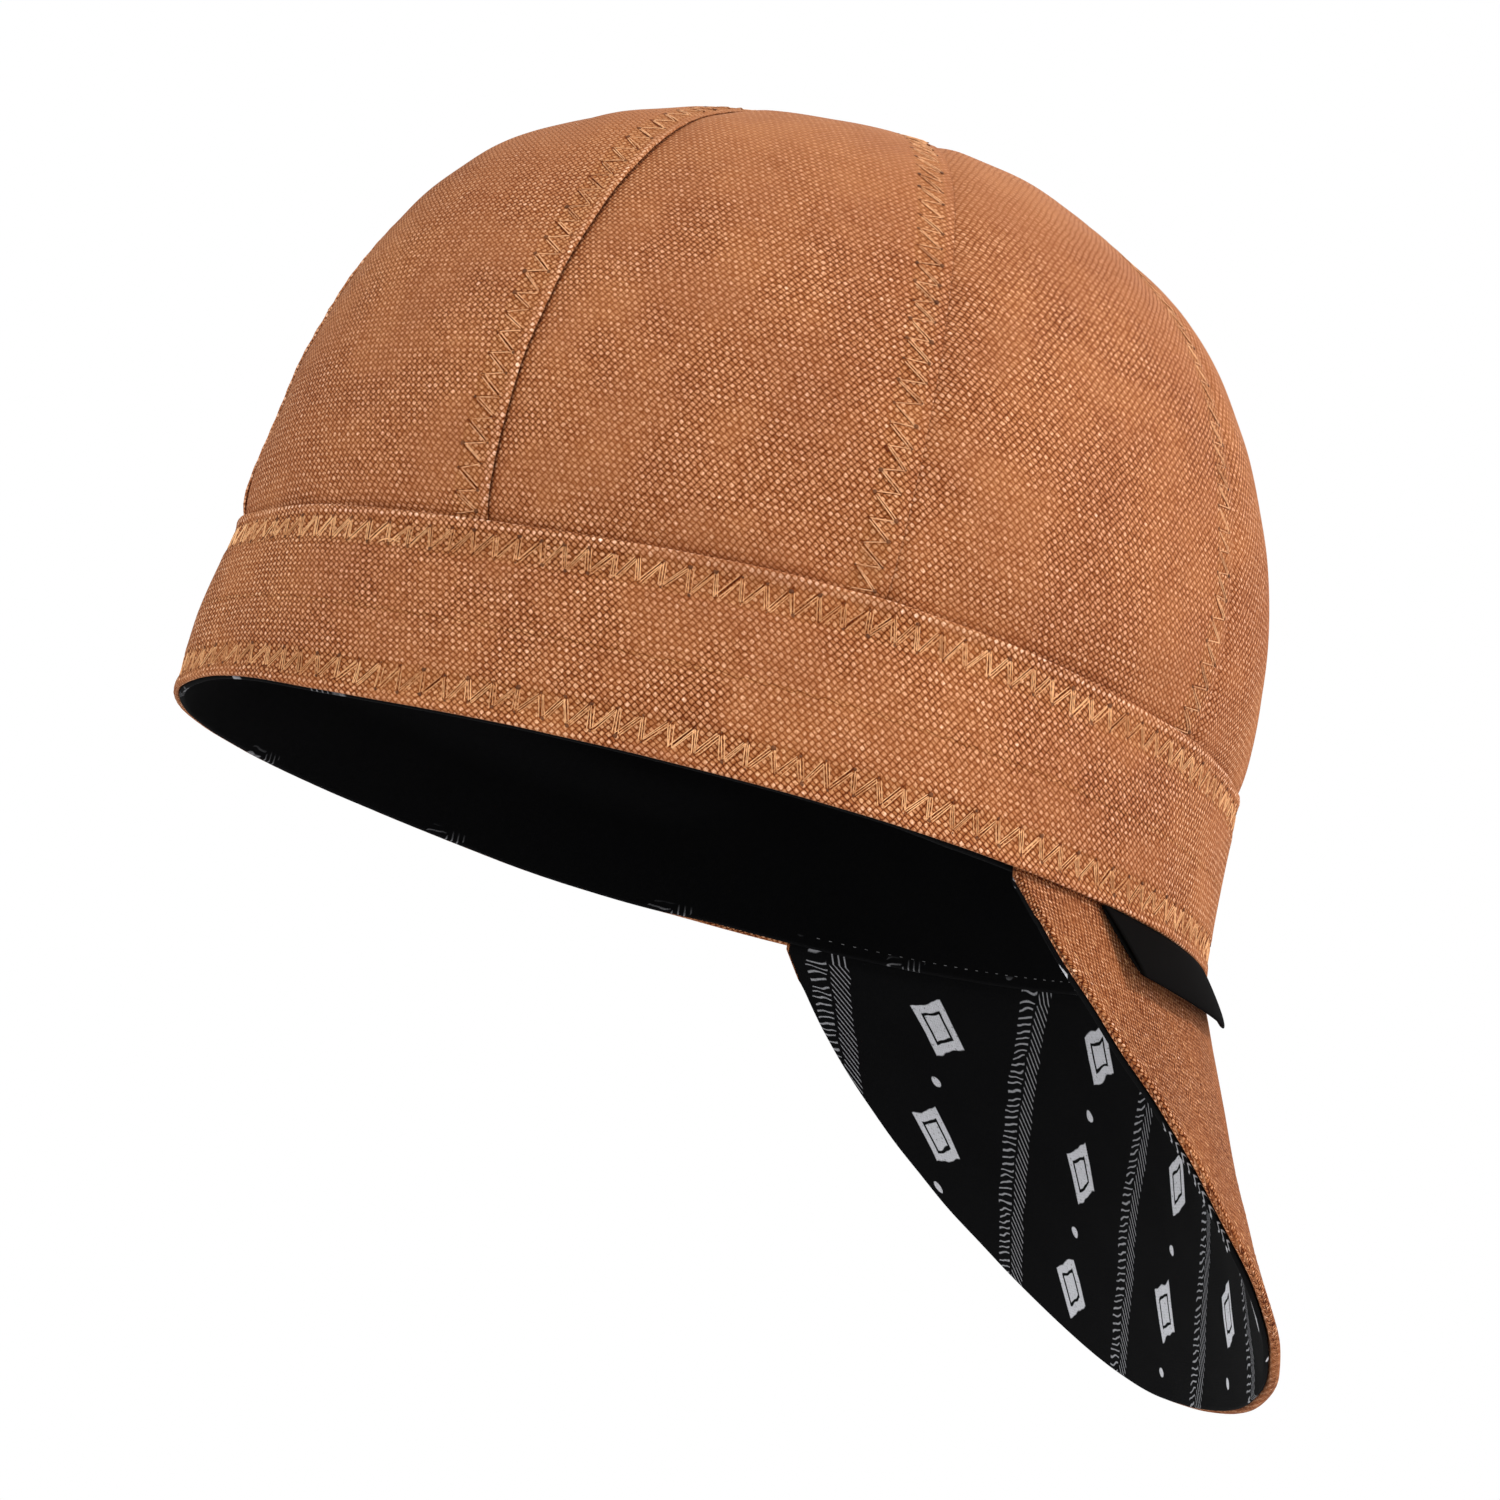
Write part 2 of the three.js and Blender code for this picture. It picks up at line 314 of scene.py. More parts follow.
def sheet(name, front, back, material, cloth_uv, stitch_uv=None, painted_light_wear_and_ink=None, ring=False, cap=False):
    """A closed cloth from a front and a back grid. A ring closes on itself and a cap also at its top."""
    rows, columns = front.shape[:2]
    count = rows * columns
    vertex = np.arange(count).reshape(rows, columns)
    if ring:
        vertex = np.concatenate([vertex, vertex[:, :1]], 1)
    corner = np.arange(vertex.size).reshape(vertex.shape)

    def quads(index):
        return np.stack([index[:-1, :-1], index[1:, :-1], index[1:, 1:], index[:-1, 1:]], -1).reshape(-1, 4)

    def wall(index, other):
        return np.stack([index[:-1], index[1:], other[1:], other[:-1]], -1)

    def both_sides(edge_of, index, other):
        return wall(edge_of(index), edge_of(index) + other)

    edges = [lambda grid: grid[0]]
    if not cap:
        edges.append(lambda grid: grid[-1][::-1])
    if not ring:
        edges += [lambda grid: grid[::-1, 0], lambda grid: grid[:, -1]]
    faces = [quads(vertex), quads(vertex)[:, ::-1] + count]
    faces += [both_sides(edge_of, vertex, count) for edge_of in edges]
    corners = [quads(corner), quads(corner)[:, ::-1] + corner.size]
    corners += [both_sides(edge_of, corner, corner.size) for edge_of in edges]
    face_list = np.concatenate(faces).tolist()
    corner_list = np.concatenate(corners).ravel().tolist()
    if cap:
        face_list += [vertex[-1, :-1][::-1].tolist(), (vertex[-1, :-1] + count).tolist()]
        corner_list += corner[-1, :-1][::-1].tolist() + (corner[-1, :-1] + corner.size).tolist()
    points = np.concatenate([front.reshape(-1, 3), back.reshape(-1, 3)])
    uvs = [("cloth", np.stack([cloth_uv, cloth_uv + edge_length]))]
    if stitch_uv is not None:
        uvs.append(("stitch", np.stack([stitch_uv, stitch_uv])))
    both = None if painted_light_wear_and_ink is None else np.concatenate([painted_light_wear_and_ink.ravel(), painted_light_wear_and_ink.ravel()])
    return make_object(name, points, face_list, material, corner_list, uvs, both)


def tubes(paths, normals, radius, sides):
    """Points and faces of one tube along each path. Paths and normals are strands by points by 3."""
    strands, steps = paths.shape[:2]
    along = np.gradient(paths, axis=1)
    along /= np.linalg.norm(along, axis=-1, keepdims=True)
    side = np.cross(along, normals)
    side /= np.linalg.norm(side, axis=-1, keepdims=True)
    up = np.cross(side, along)
    angle = np.arange(sides) * full_turn / sides
    ring = np.cos(angle)[:, None] * side[:, :, None] + np.sin(angle)[:, None] * up[:, :, None]
    points = paths[:, :, None] + radius * ring
    index = np.arange(strands * steps * sides).reshape(strands, steps, sides)
    turned = np.roll(index, -1, axis=2)
    walls = np.stack([index[:, :-1], index[:, 1:], turned[:, 1:], turned[:, :-1]], -1).reshape(-1, 4)
    faces = walls.tolist() + index[:, 0].tolist() + index[:, -1, ::-1].tolist()
    return points.reshape(-1, 3), faces


def thread_object(name, strands, radius, material, sides=6):
    """One object from tubes along several sets of paths, each given with its normals."""
    points, faces, total = [], [], 0
    for paths, normals in strands:
        tube_points, tube_faces = tubes(paths, normals, radius, sides)
        points.append(tube_points)
        faces += [[index + total for index in face] for face in tube_faces]
        total += len(tube_points)
    make_object(name, np.concatenate(points), faces, material)


# A heading that no needle hole's normal shares
hole_slant = np.array([0.3, 0.5, 0.8])


def needle_hole_shades(centres, normals, radii, sides=8, rise=0.05 * mm, sink=0.3 * mm):
    """Points and faces of small dark plugs that sit almost flush in the cloth, painted shade for the needle
    holes.
    """
    side = np.cross(normals, hole_slant)
    side /= np.linalg.norm(side, axis=-1, keepdims=True)
    other = np.cross(normals, side)
    angle = np.arange(sides) * full_turn / sides
    ring = centres[:, None] + radii[:, None, None] * (
        np.cos(angle)[:, None] * side[:, None] + np.sin(angle)[:, None] * other[:, None])
    tips = np.stack([centres + rise * normals, centres - sink * normals], 1)
    points = np.concatenate([ring, tips], 1)
    base = np.arange(len(centres))[:, None] * (sides + 2)
    first = base + np.arange(sides)
    second = base + (np.arange(sides) + 1) % sides
    top = np.stack([first, second, np.broadcast_to(base + sides, first.shape)], -1)
    bottom = np.stack([second, first, np.broadcast_to(base + sides + 1, first.shape)], -1)
    return points.reshape(-1, 3), np.concatenate([top.reshape(-1, 3), bottom.reshape(-1, 3)]).tolist()


# Materials

shader_inputs = {"roughness": "Roughness", "specular": "Specular IOR Level", "sheen": "Sheen Weight",
                 "sheen_roughness": "Sheen Roughness", "sheen_tint": "Sheen Tint"}


class Value:
    """A value in a material's nodes, which takes arithmetic as a number does."""

    def __init__(self, graph, socket):
        self.graph = graph
        self.socket = socket

    def math(self, operation, *others):
        return self.graph.math(operation, self, *others)

    def __add__(self, other):
        return self.math("ADD", other)

    def __sub__(self, other):
        return self.math("SUBTRACT", other)

    def __rsub__(self, other):
        return self.graph.math("SUBTRACT", other, self)

    def __mul__(self, other):
        return self.math("MULTIPLY", other)

    def __truediv__(self, other):
        return self.math("DIVIDE", other)

    def __pow__(self, other):
        return self.math("POWER", other)

    def __abs__(self):
        return self.math("ABSOLUTE")

    def smooth(self, low, high, new_low=0.0, new_high=1.0, kind="SMOOTHSTEP"):
        made = self.graph.node("ShaderNodeMapRange", self, low, high, new_low, new_high,
                               interpolation_type=kind)
        return Value(self.graph, made.outputs[0])

    def linear(self, low, high, new_low, new_high):
        return self.smooth(low, high, new_low, new_high, "LINEAR")


class Graph:
    """A material's nodes, made by short calls."""

    def __init__(self, name):
        self.material = bpy.data.materials.new(name)
        self.material.use_nodes = True
        self.tree = self.material.node_tree
        self.shader = self.tree.nodes["Principled BSDF"]

    def put(self, socket, value):
        if isinstance(value, Value):
            self.tree.links.new(value.socket, socket)
        else:
            socket.default_value = value

    def node(self, kind, *values, **settings):
        made = self.tree.nodes.new(kind)
        for key, value in settings.items():
            setattr(made, key, value)
        for socket, value in zip(made.inputs, values):
            self.put(socket, value)
        return made

    def named(self, kind, **values):
        """A node whose inputs are set by their names."""
        made = self.tree.nodes.new(kind)
        for name, value in values.items():
            self.put(made.inputs[name], value)
        return made

    def math(self, operation, *values):
        return Value(self, self.node("ShaderNodeMath", *values, operation=operation).outputs[0])

    def mix(self, factor, first, second, blend="MIX"):
        """A mix of colours, which are the node's inputs 6 and 7 and its output 2."""
        made = self.node("ShaderNodeMix", data_type="RGBA", blend_type=blend)
        self.put(made.inputs["Factor"], factor)
        self.put(made.inputs[6], first)
        self.put(made.inputs[7], second)
        return Value(self, made.outputs[2])

    def split(self, vector):
        return [Value(self, socket) for socket in self.node("ShaderNodeSeparateXYZ", vector).outputs]

    def uv(self, layer):
        return self.split(Value(self, self.node("ShaderNodeUVMap", uv_map=layer).outputs[0]))[:2]

    def place(self, x, y, z=0.0):
        return Value(self, self.node("ShaderNodeCombineXYZ", x, y, z).outputs[0])

    def noise(self, vector, scale, detail=2.0, roughness=0.5):
        made = self.named("ShaderNodeTexNoise", Vector=vector, Scale=scale, Detail=detail, Roughness=roughness)
        return Value(self, made.outputs["Fac"])

    def chance(self, x, y):
        made = self.node("ShaderNodeTexWhiteNoise", noise_dimensions="2D")
        self.put(made.inputs["Vector"], self.place(x, y))
        return Value(self, made.outputs["Value"])

    def object_place(self):
        return Value(self, self.node("ShaderNodeTexCoord").outputs["Object"])

    def attribute(self, name):
        return Value(self, self.node("ShaderNodeAttribute", attribute_name=name).outputs["Fac"])

    def finish(self, colour, height=None, strength=1.0, depth=0.0, **levels):
        """The material, once it has its colour, the shader's levels and a bump if a height is given."""
        self.put(self.shader.inputs["Base Color"], colour)
        for name, level in levels.items():
            self.put(self.shader.inputs[shader_inputs[name]], level)
        if height is not None:
            made = self.named("ShaderNodeBump", Height=height, Strength=strength, Distance=depth)
            self.put(self.shader.inputs["Normal"], Value(self, made.outputs[0]))
        return self.material


def slanted(u, v, slant, first_step=1.0, second_step=1.0):
    """The places along and across a slant, each counted in steps."""
    x = u * (np.cos(slant) / first_step) + v * (np.sin(slant) / first_step)
    y = v * (np.cos(slant) / second_step) - u * (np.sin(slant) / second_step)
    return x, y


# Weave: its drift, the profiles of a thread that runs over or under, and the spread of their heights
drift_scale = 1 / (5 * mm)
drift_detail, drift_roughness = 4.0, 0.6
over_powers = (1.3, 0.5)
under_powers = (0.7, 1.6)
height_spread = (0.48, 1.0)
height_power = 0.45
# Tints run on along a thread, and fibres are finer than it
tint_scale, tint_stretch, weft_seed = 1.7, 0.12, 4.0
fibre_counts = (2.6, 1.1)
fine_detail, fine_roughness = 3.0, 0.7
even_wobble = 0.3


def weave(graph, pitches, slant=np.pi / 4, wobble=1.2):
    """A plain weave on a slant: its height, its threads' tint, the fibres and the cloth's place."""
    u, v = graph.uv("cloth")
    spot = graph.place(u, v)
    drift, drift_too = (graph.noise(place, drift_scale, drift_detail, drift_roughness) - 0.5
                        for place in (spot, graph.place(v, u, 1.0)))
    x, y = slanted(u, v, slant, *pitches)
    x = x + drift * wobble
    y = y + drift_too * wobble
    column, row = x.math("FLOOR"), y.math("FLOOR")
    across, along = (abs((place * np.pi).math("SINE")) for place in (x, y))
    over = across ** over_powers[0] * along ** over_powers[1]
    under = across ** under_powers[0] * along ** under_powers[1]
    odd = (column + row).math("PINGPONG", 1.0)
    height = over * (1.0 - odd) + under * (odd * under_share)
    height = (height * graph.chance(column, row).linear(0.0, 1.0, *height_spread)) ** height_power
    warp_tint = graph.noise(graph.place(column, y * tint_stretch), tint_scale, 1.0)
    weft_tint = graph.noise(graph.place(row, x * tint_stretch, weft_seed), tint_scale, 1.0)
    fibre_place = graph.place(x * fibre_counts[0], y * fibre_counts[1])
    fibres = graph.noise(fibre_place, 1.0, fine_detail, fine_roughness)
    return height, (warp_tint + weft_tint) * 0.5, fibres, spot


# Canvas: the share of its base colour, its washed parts and its patches of stronger and weaker relief
base_share = 0.45
wash_scale, wash_detail, wash_roughness, wash_range = 1 / (26 * mm), 3.0, 0.6, (0.3, 0.72)
patch_scale, patch_range = 1 / (16 * mm), (0.35, 0.6, 0.72, 1.1)
# How light follows the weave's height, its fibres and its tints, painted light and shade of the weave's relief
# with its real tints: a range and what it becomes
height_light = (0.14, 0.78, 0.16, 1.42)
fibre_light = (0.25, 0.75, 0.6, 1.4)
tint_light = (0.25, 0.75, 0.85, 1.15)
fuzz_range = (0.3, 0.7)
# How strongly the painted highlights and painted shade of the mesh's attribute change the canvas's light
painted_light_wear_share = 0.5
darkest = 0.15
fuzz_size = 0.9 * mm
fibre_bump = 0.6
canvas_bump = 0.22 * mm
fine_bump = 0.05 * mm
# How the cloth's colour shifts as it darkens, mostly by the painted shade between the threads: the exponents
# of red, green and blue
shade_exponents = (1.0, 1.6, 2.3)
# The cloth's colour among the stitches, and its share there
stitched_canvas, stitched_share = (0.45, 0.19, 0.062, 1.0), 0.25
# Heights between which the painted light and shade of the weave grow weaker towards the top of the crown, and
# the share of them left there
faint_relief_heights = (98 * mm, 128 * mm)
top_relief_share = 0.36
# The shade beside a stitch's legs: how far it is set off, its edges and its strength, and the zigzag's edges
stitch_shade_offset, stitch_shade_edges, stitch_shade_strength = 0.12, (0.04, 0.28), 0.62
stitch_zone_edges = (1.0, 1.4)


def canvas_material(name, colours, pitches, slant=np.pi / 4, contrast=1.0, mottle=0.0, lean=None,
                    faint_painted_relief_top=False):
    base, golden, deep = colours
    graph = Graph(name)
    height, tint, fibres, spot = weave(graph, pitches, slant)
    place = graph.object_place()
    wash = graph.noise(place, wash_scale, wash_detail, wash_roughness).smooth(*wash_range)
    colour = graph.mix(base_share, graph.mix(wash, deep, golden), base)
    relief = graph.noise(place, patch_scale).smooth(*patch_range) * contrast
    # Weaker painted light and shade of the weave towards the top of the crown
    if faint_painted_relief_top:
        relief = relief * graph.split(place)[2].smooth(*faint_relief_heights, 1.0, top_relief_share)
    fuzz = graph.noise(spot, 1 / fuzz_size, fine_detail, fine_roughness)
    light = height.linear(*height_light) * fibres.linear(*fibre_light) * tint.linear(*tint_light)
    light = light * fuzz.linear(*fuzz_range, 1.0 - mottle, 1.0 + mottle)
    light = (light - 1.0) * relief + 1.0
    # Painted highlights and painted shade from the mesh's attribute, partly wear at the folds
    light = light * (graph.attribute("painted_light_wear_and_ink") * painted_light_wear_share + 1.0)
    if lean is not None:
        shade, zone = stitch_shade(graph, lean)
        light = light * shade
        colour = graph.mix(zone * stitched_share, colour, stitched_canvas)
    light = light.math("MAXIMUM", darkest)
    shades = graph.place(*(light ** exponent for exponent in shade_exponents))
    colour = graph.mix(1.0, colour, shades, "MULTIPLY")
    return graph.finish(colour, height + fibres * fibre_bump, 1.0, canvas_bump, roughness=0.9, specular=0.1,
                        sheen=0.06, sheen_roughness=0.55, sheen_tint=(1.0, 0.72, 0.5, 1.0))


def stitch_shade(graph, lean):
    """Shade of the cloth beside a zigzag's legs, which lie in small grooves, and the zigzag's zone."""
    x, y = graph.uv("stitch")
    part = x.math("FRACT")
    wave = 1.0 - (part / lean).math("MINIMUM", (1.0 - part) / (1 - lean)) * 2.0
    beside = abs(y - wave - stitch_shade_offset).smooth(*stitch_shade_edges, 1.0, 0.0)
    zone = abs(y).smooth(*stitch_zone_edges, 1.0, 0.0)
    return 1.0 - beside * zone * stitch_shade_strength, zone


def lit(graph, colour, light):
    return graph.mix(1.0, colour, graph.place(light, light, light), "MULTIPLY")


def plain_cloth_material(name, base, pitches, roughness, strength):
    graph = Graph(name)
    height, tint, _, _ = weave(graph, pitches, wobble=even_wobble)
    colour = lit(graph, base, (height * tint).linear(0.0, 0.7, 0.7, 1.3))
    return graph.finish(colour, height, strength, fine_bump, roughness=roughness, specular=0.012)


# Print on the lining: slanting bands of chevrons, with rows of diamonds and dots between them

print_slant = 52 * degree
print_wander = 1.8 * mm
print_edge = 0.12 * mm
stripe_spacing = 42 * mm
stripe_half_width = 3.6 * mm
chevron_spacing = 1.9 * mm
chevron_half_line = 0.22 * mm
chevron_spine = 0.3 * mm
chevron_ink = 0.55
diamond_spacing = 32 * mm
diamond_half_length = 8.2 * mm
diamond_half_width = 5.8 * mm
diamond_edges = (0.97, 1.03)
# The line inside a diamond: its place between middle and edge, and its edges
diamond_ring, diamond_ring_edges = 0.55, (0.05, 0.09)
dot_radius = 1.2 * mm
worn_print_scale, worn_print_range = 1 / (0.6 * mm), (0.28, 0.4, 0.35, 1.0)


def printed_material(name, base, ink):
    graph = Graph(name)
    height, tint, _, spot = weave(graph, lining_pitches, wobble=even_wobble)
    wander = (graph.noise(spot, drift_scale, 1.0) - 0.5) * print_wander
    along, across = (place + wander for place in slanted(*graph.uv("cloth"), print_slant))

    def beyond(value, period, centre=0.0):
        """Distance from the nearest of the places that repeat with a period."""
        return (value - centre).math("PINGPONG", period / 2)

    def less(value, limit):
        return value.smooth(limit - print_edge, limit + print_edge, 1.0, 0.0)

    from_stripe = beyond(across, stripe_spacing)
    chevrons = less(beyond(along + from_stripe, chevron_spacing), chevron_half_line)
    chevrons = chevrons * (1.0 - less(from_stripe, chevron_spine))
    chevrons = chevrons * less(from_stripe, stripe_half_width) * chevron_ink
    middle = beyond(across, stripe_spacing, stripe_spacing / 2)
    diamond = beyond(along, diamond_spacing) / diamond_half_length + middle / diamond_half_width
    solid = diamond.smooth(*diamond_edges, 1.0, 0.0) * abs(diamond - diamond_ring).smooth(*diamond_ring_edges)
    between = beyond(along, diamond_spacing, diamond_spacing / 2)
    dot = (between * between + middle * middle).math("SQRT")
    marks = chevrons.math("MAXIMUM", solid.math("MAXIMUM", less(dot, dot_radius)))
    worn = graph.noise(spot, worn_print_scale).smooth(*worn_print_range)
    # On the lining the mesh's attribute is the share of print that shows: nil inside the hollow as painted
    # shade, and full on the bill's lining
    marks = marks * worn * graph.attribute("painted_light_wear_and_ink")
    colour = lit(graph, graph.mix(marks, base, ink), (height * tint).linear(0.0, 0.7, 0.75, 1.2))
    return graph.finish(colour, height, 0.4, fine_bump, roughness=0.9, specular=0.06)


twist_scale, spot_scale = 1 / (0.8 * mm), 1 / (9 * mm)


def thread_material(name, light_colour, dark_colour, sheen):
    graph = Graph(name)
    place = graph.object_place()
    twist = graph.noise(place, twist_scale)
    spots = graph.noise(place, spot_scale, 1.0)
    colour = graph.mix(((twist + spots) * 0.5).smooth(0.35, 0.65), dark_colour, light_colour)
    return graph.finish(colour, twist, 0.5, fine_bump, roughness=0.7, specular=0.15, sheen=sheen)


canvas_colours = ((0.468, 0.182, 0.077, 1.0), (0.535, 0.218, 0.09, 1.0), (0.405, 0.147, 0.064, 1.0))
# The bill's colours are darker than the crown's, partly its own cloth and partly painted shade for a bill that
# faces down
bill_colours_with_shade = ((0.402, 0.139, 0.0495, 1.0), (0.466, 0.168, 0.06, 1.0), (0.348, 0.113, 0.04, 1.0))
crown_canvas = canvas_material("crown canvas", canvas_colours, thread_pitches, weave_slant, contrast=0.83,
                               mottle=0.34, lean=crown_stitch_lean, faint_painted_relief_top=True)
band_canvas = canvas_material("band canvas", canvas_colours, thread_pitches, weave_slant, contrast=0.92,
                              mottle=0.34, lean=band_stitch_lean)
bill_canvas = canvas_material("bill canvas", bill_colours_with_shade, bill_thread_pitches, contrast=1.2, mottle=0.55)
lining_print = printed_material("printed lining", (0.004, 0.004, 0.0045, 1.0), (0.7, 0.7, 0.75, 1.0))
label_cloth = plain_cloth_material("label tape", (0.0042, 0.0038, 0.0038, 1.0), label_thread_pitches,
                                   roughness=0.8, strength=0.15)
canvas_thread = thread_material("canvas thread", (0.92, 0.51, 0.25, 1.0), (0.5, 0.21, 0.08, 1.0), 0.05)
crown_thread = thread_material("crown thread", (0.82, 0.44, 0.225, 1.0), (0.44, 0.18, 0.075, 1.0), 0.05)
hole_shade = thread_material("needle hole shade", (0.2, 0.07, 0.026, 1.0), (0.1, 0.033, 0.013, 1.0), 0.0)
pale_thread = thread_material("lining thread", (0.3, 0.3, 0.31, 1.0), (0.12, 0.12, 0.125, 1.0), 0.0)


# Crown panels

panel_rows = 132
fold_radius = 0.32 * mm
fold_ridge = 0.16 * mm
fold_ridge_at = 0.5 * mm
fold_ridge_width = 0.5 * mm
seam_step = 0.2 * mm
seam_step_from, seam_step_to = 6.5 * mm, 10 * mm
groove_depth = 0.22 * mm
pucker_height = 0.08 * mm
pucker_reach = 5.5 * mm
narrow_panel = 26 * mm
near_zone = 10 * mm
near_shares = np.array([
    0, 0.012, 0.03, 0.06, 0.1, 0.15, 0.21, 0.27, 0.33, 0.39, 0.45, 0.51, 0.57, 0.64, 0.72, 0.85, 1])
flat_spans = 15
ramp_spans = 8
under_spans = 2
tuck_shares = np.array([1, 1 / 2, 1 / 8])
relief_rises = (1.03, 1.06)
lap_curve = 2.2
fold_radius_share = 1 / 8
# How far the weave of each panel is shifted from that of the panel before it, in metres of cloth
panel_weave_shift = (0.5, 0.3)
# How much lighter a fold's ridge is, a painted highlight that is partly wear, and how much darker the cloth is
# beside a fold, painted shade in the dip under the next panel, and over the band, a painted shadow of the
# band's top edge
fold_highlight_and_wear = 0.8
lap_painted_shade, lap_painted_shade_curve = 0.35, 4
foot_painted_shadow, foot_painted_shadow_rises = 0.3, (1.0, 1.035)
# How far beyond a zigzag its coordinate runs on, in the zigzag's reaches
zigzag_limit = 3

seam_meridians = [meridian(turn_at_share(seam / panel_count)) for seam in range(panel_count)]
middle_meridians = [meridian(turn_at_share((seam + 0.5) / panel_count)) for seam in range(panel_count)]
seam_starts = [band_climb_at(turn_at_share(seam / panel_count)) for seam in range(panel_count)]
# How sharp each seam's fold stands out: the two at the label's side are worn flat
seam_sharpness = [1.0, 0.1, 0.0, 1.0, 1.0, 1.0, 1.0, 1.0]
fold_fade_rises = (1.6, 1.73)
fold_thinning = 4 * mm
thin_edge = 0.2 * mm


def panel_width(panel, rise):
    low = cap_points(turn_at_share(panel / panel_count), rise)
    high = cap_points(turn_at_share((panel + 1) / panel_count), rise)
    return np.linalg.norm(high - low, axis=-1)


def seam_length_at(panel, rise):
    rises, lengths = seam_meridians[panel]
    return np.interp(rise, rises, lengths)


def sharpness_at(panel, rise):
    return seam_sharpness[panel % panel_count] * (1 - soft_step(rise, *fold_fade_rises))


def fold_relief(panel, distance, rise, width):
    """Height of a panel's face by its folded edge: the edge's roll, the flattened seam and its puckers."""
    size = np.clip(width / narrow_panel, 0, 1) * soft_step(rise, *relief_rises)
    sharp = sharpness_at(panel, rise)
    ridge = sharp * fold_ridge * bell(distance, fold_ridge_at, fold_ridge_width)
    step = sharp * seam_step * (1 - soft_step(distance, seam_step_from, seam_step_to))
    groove = groove_depth * bell(distance, crown_stitch_middle, crown_stitch_reach)
    phase = full_turn * (seam_length_at(panel, rise) - seam_starts[panel]) / crown_stitch_period
    side = np.sign(distance - crown_stitch_middle)
    pucker = pucker_height * np.cos(phase) * side * bell(distance, crown_stitch_middle, pucker_reach)
    pucker = pucker * soft_step(np.abs(distance - crown_stitch_middle), 0, crown_stitch_reach)
    return size * (ridge + step - groove + pucker)


def zigzag_side(place, middle, reach):
    return np.clip((place - middle) / reach, -zigzag_limit, zigzag_limit)


def apex_rise():
    radii = cap_points(np.pi / 2, side_rises)[..., 0]
    return side_rises[np.argmax(radii < apex_hole_radius)]


def rises_to_apex(rows):
    """Rises from the band's top to the apex, in even steps of length up the side."""
    reach = np.interp(apex_rise(), side_rises, side_lengths)
    return np.interp(np.linspace(0, reach, rows), side_lengths, side_rises)


def puff_at(rise, share):
    """How far a panel stands out between its seams."""
    return panel_puff * np.sin(np.pi * np.clip(rise - 1, 0, 1)) * np.sin(np.pi * np.clip(share, 0, 1))


def crown_panel(panel):
    tuck_rises = 1 - crown_tuck * tuck_shares / band_height
    rises = np.concatenate([tuck_rises, rises_to_apex(panel_rows)])
    width = panel_width(panel, rises)
    near = np.minimum(near_zone, lap_widest_share * width)
    lap = np.minimum(panel_lap, lap_widest_share * width)
    ramp = np.minimum(lap_ramp, lap_widest_share * width)
    clear = np.minimum(layer_gap, lap_widest_share / 2 * width)
    ramp_start = width - clear - ramp
    columns = [near * share for share in near_shares]
    for start, reach, spans in ((near, ramp_start - near, flat_spans), (ramp_start, ramp, ramp_spans),
                                (width - clear, clear + lap, under_spans)):
        columns += [start + reach * share for share in np.linspace(0, 1, spans + 1)[1:]]
    distance = np.stack(columns, 1)
    rise = np.repeat(rises[:, None], distance.shape[1], 1)
    wide = width[:, None]
    dip = np.clip((distance - ramp_start[:, None]) / ramp[:, None], 0, 1)
    puff = puff_at(rise, distance / wide)
    height = puff * (1 - dip ** 2) - lap_depth * dip ** lap_curve
    height += fold_relief(panel, distance, rise, wide)
    turn = turn_at_share((panel + distance / wide) / panel_count)
    edge = np.minimum(fold_radius, wide * fold_radius_share)
    sharp = sharpness_at(panel, rise)
    flattened = (1 - sharp) * (crown_wall - thin_edge) * (1 - soft_step(distance, 0, fold_thinning))
    front = skin(turn, rise, height - np.maximum(flattened, rounded(distance, edge)))
    back = skin(turn, rise, height - crown_wall + rounded(distance, edge) * sharp)
    middle_rises, middle_lengths = middle_meridians[panel]
    up = np.interp(rise, middle_rises, middle_lengths) - np.clip(1 - rise, 0, 1) * band_height
    bow = np.pi / panel_count / np.sin(np.pi / panel_count)
    cloth = np.stack([(distance - wide / 2) * bow, up], -1) + panel * np.array(panel_weave_shift)
    stitch = np.stack([(seam_starts[panel] - seam_length_at(panel, rise)) / crown_stitch_period,
                       zigzag_side(distance, crown_stitch_middle, crown_stitch_reach)], -1)
    # Painted highlight on the fold's ridge, partly wear, painted shade in the dip under the next panel's fold,
    # and a painted shadow just above the band
    painted_light_wear_and_ink = fold_highlight_and_wear * sharp * bell(distance, fold_ridge_at, fold_ridge_width)
    painted_light_wear_and_ink = painted_light_wear_and_ink - lap_painted_shade * sharpness_at(panel + 1, rise) * dip ** lap_painted_shade_curve
    climbed = rise_at(band_height + band_climb_at(turn)) - 1
    painted_light_wear_and_ink = painted_light_wear_and_ink - foot_painted_shadow * (1 - soft_step(rise - climbed, *foot_painted_shadow_rises))
    name = f"crown_panel_{panel + 1}"
    piece = sheet(name + "_cloth", front, back, crown_canvas, cloth, stitch, painted_light_wear_and_ink)
    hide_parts(name)


def panel_spot(panel, distance, length, lift):
    """A place on a panel's face and its normal, from the distance to the fold and the length up the seam."""
    rises, lengths = seam_meridians[panel]
    rise = np.interp(length, lengths, rises)
    width = panel_width(panel, rise)
    share = np.clip(distance / width, 0, 1)
    turn = turn_at_share((panel + share) / panel_count)
    height = puff_at(rise, share) + fold_relief(panel, distance, rise, width) + lift
    return skin(turn, rise, height), cap_normals(turn, rise)


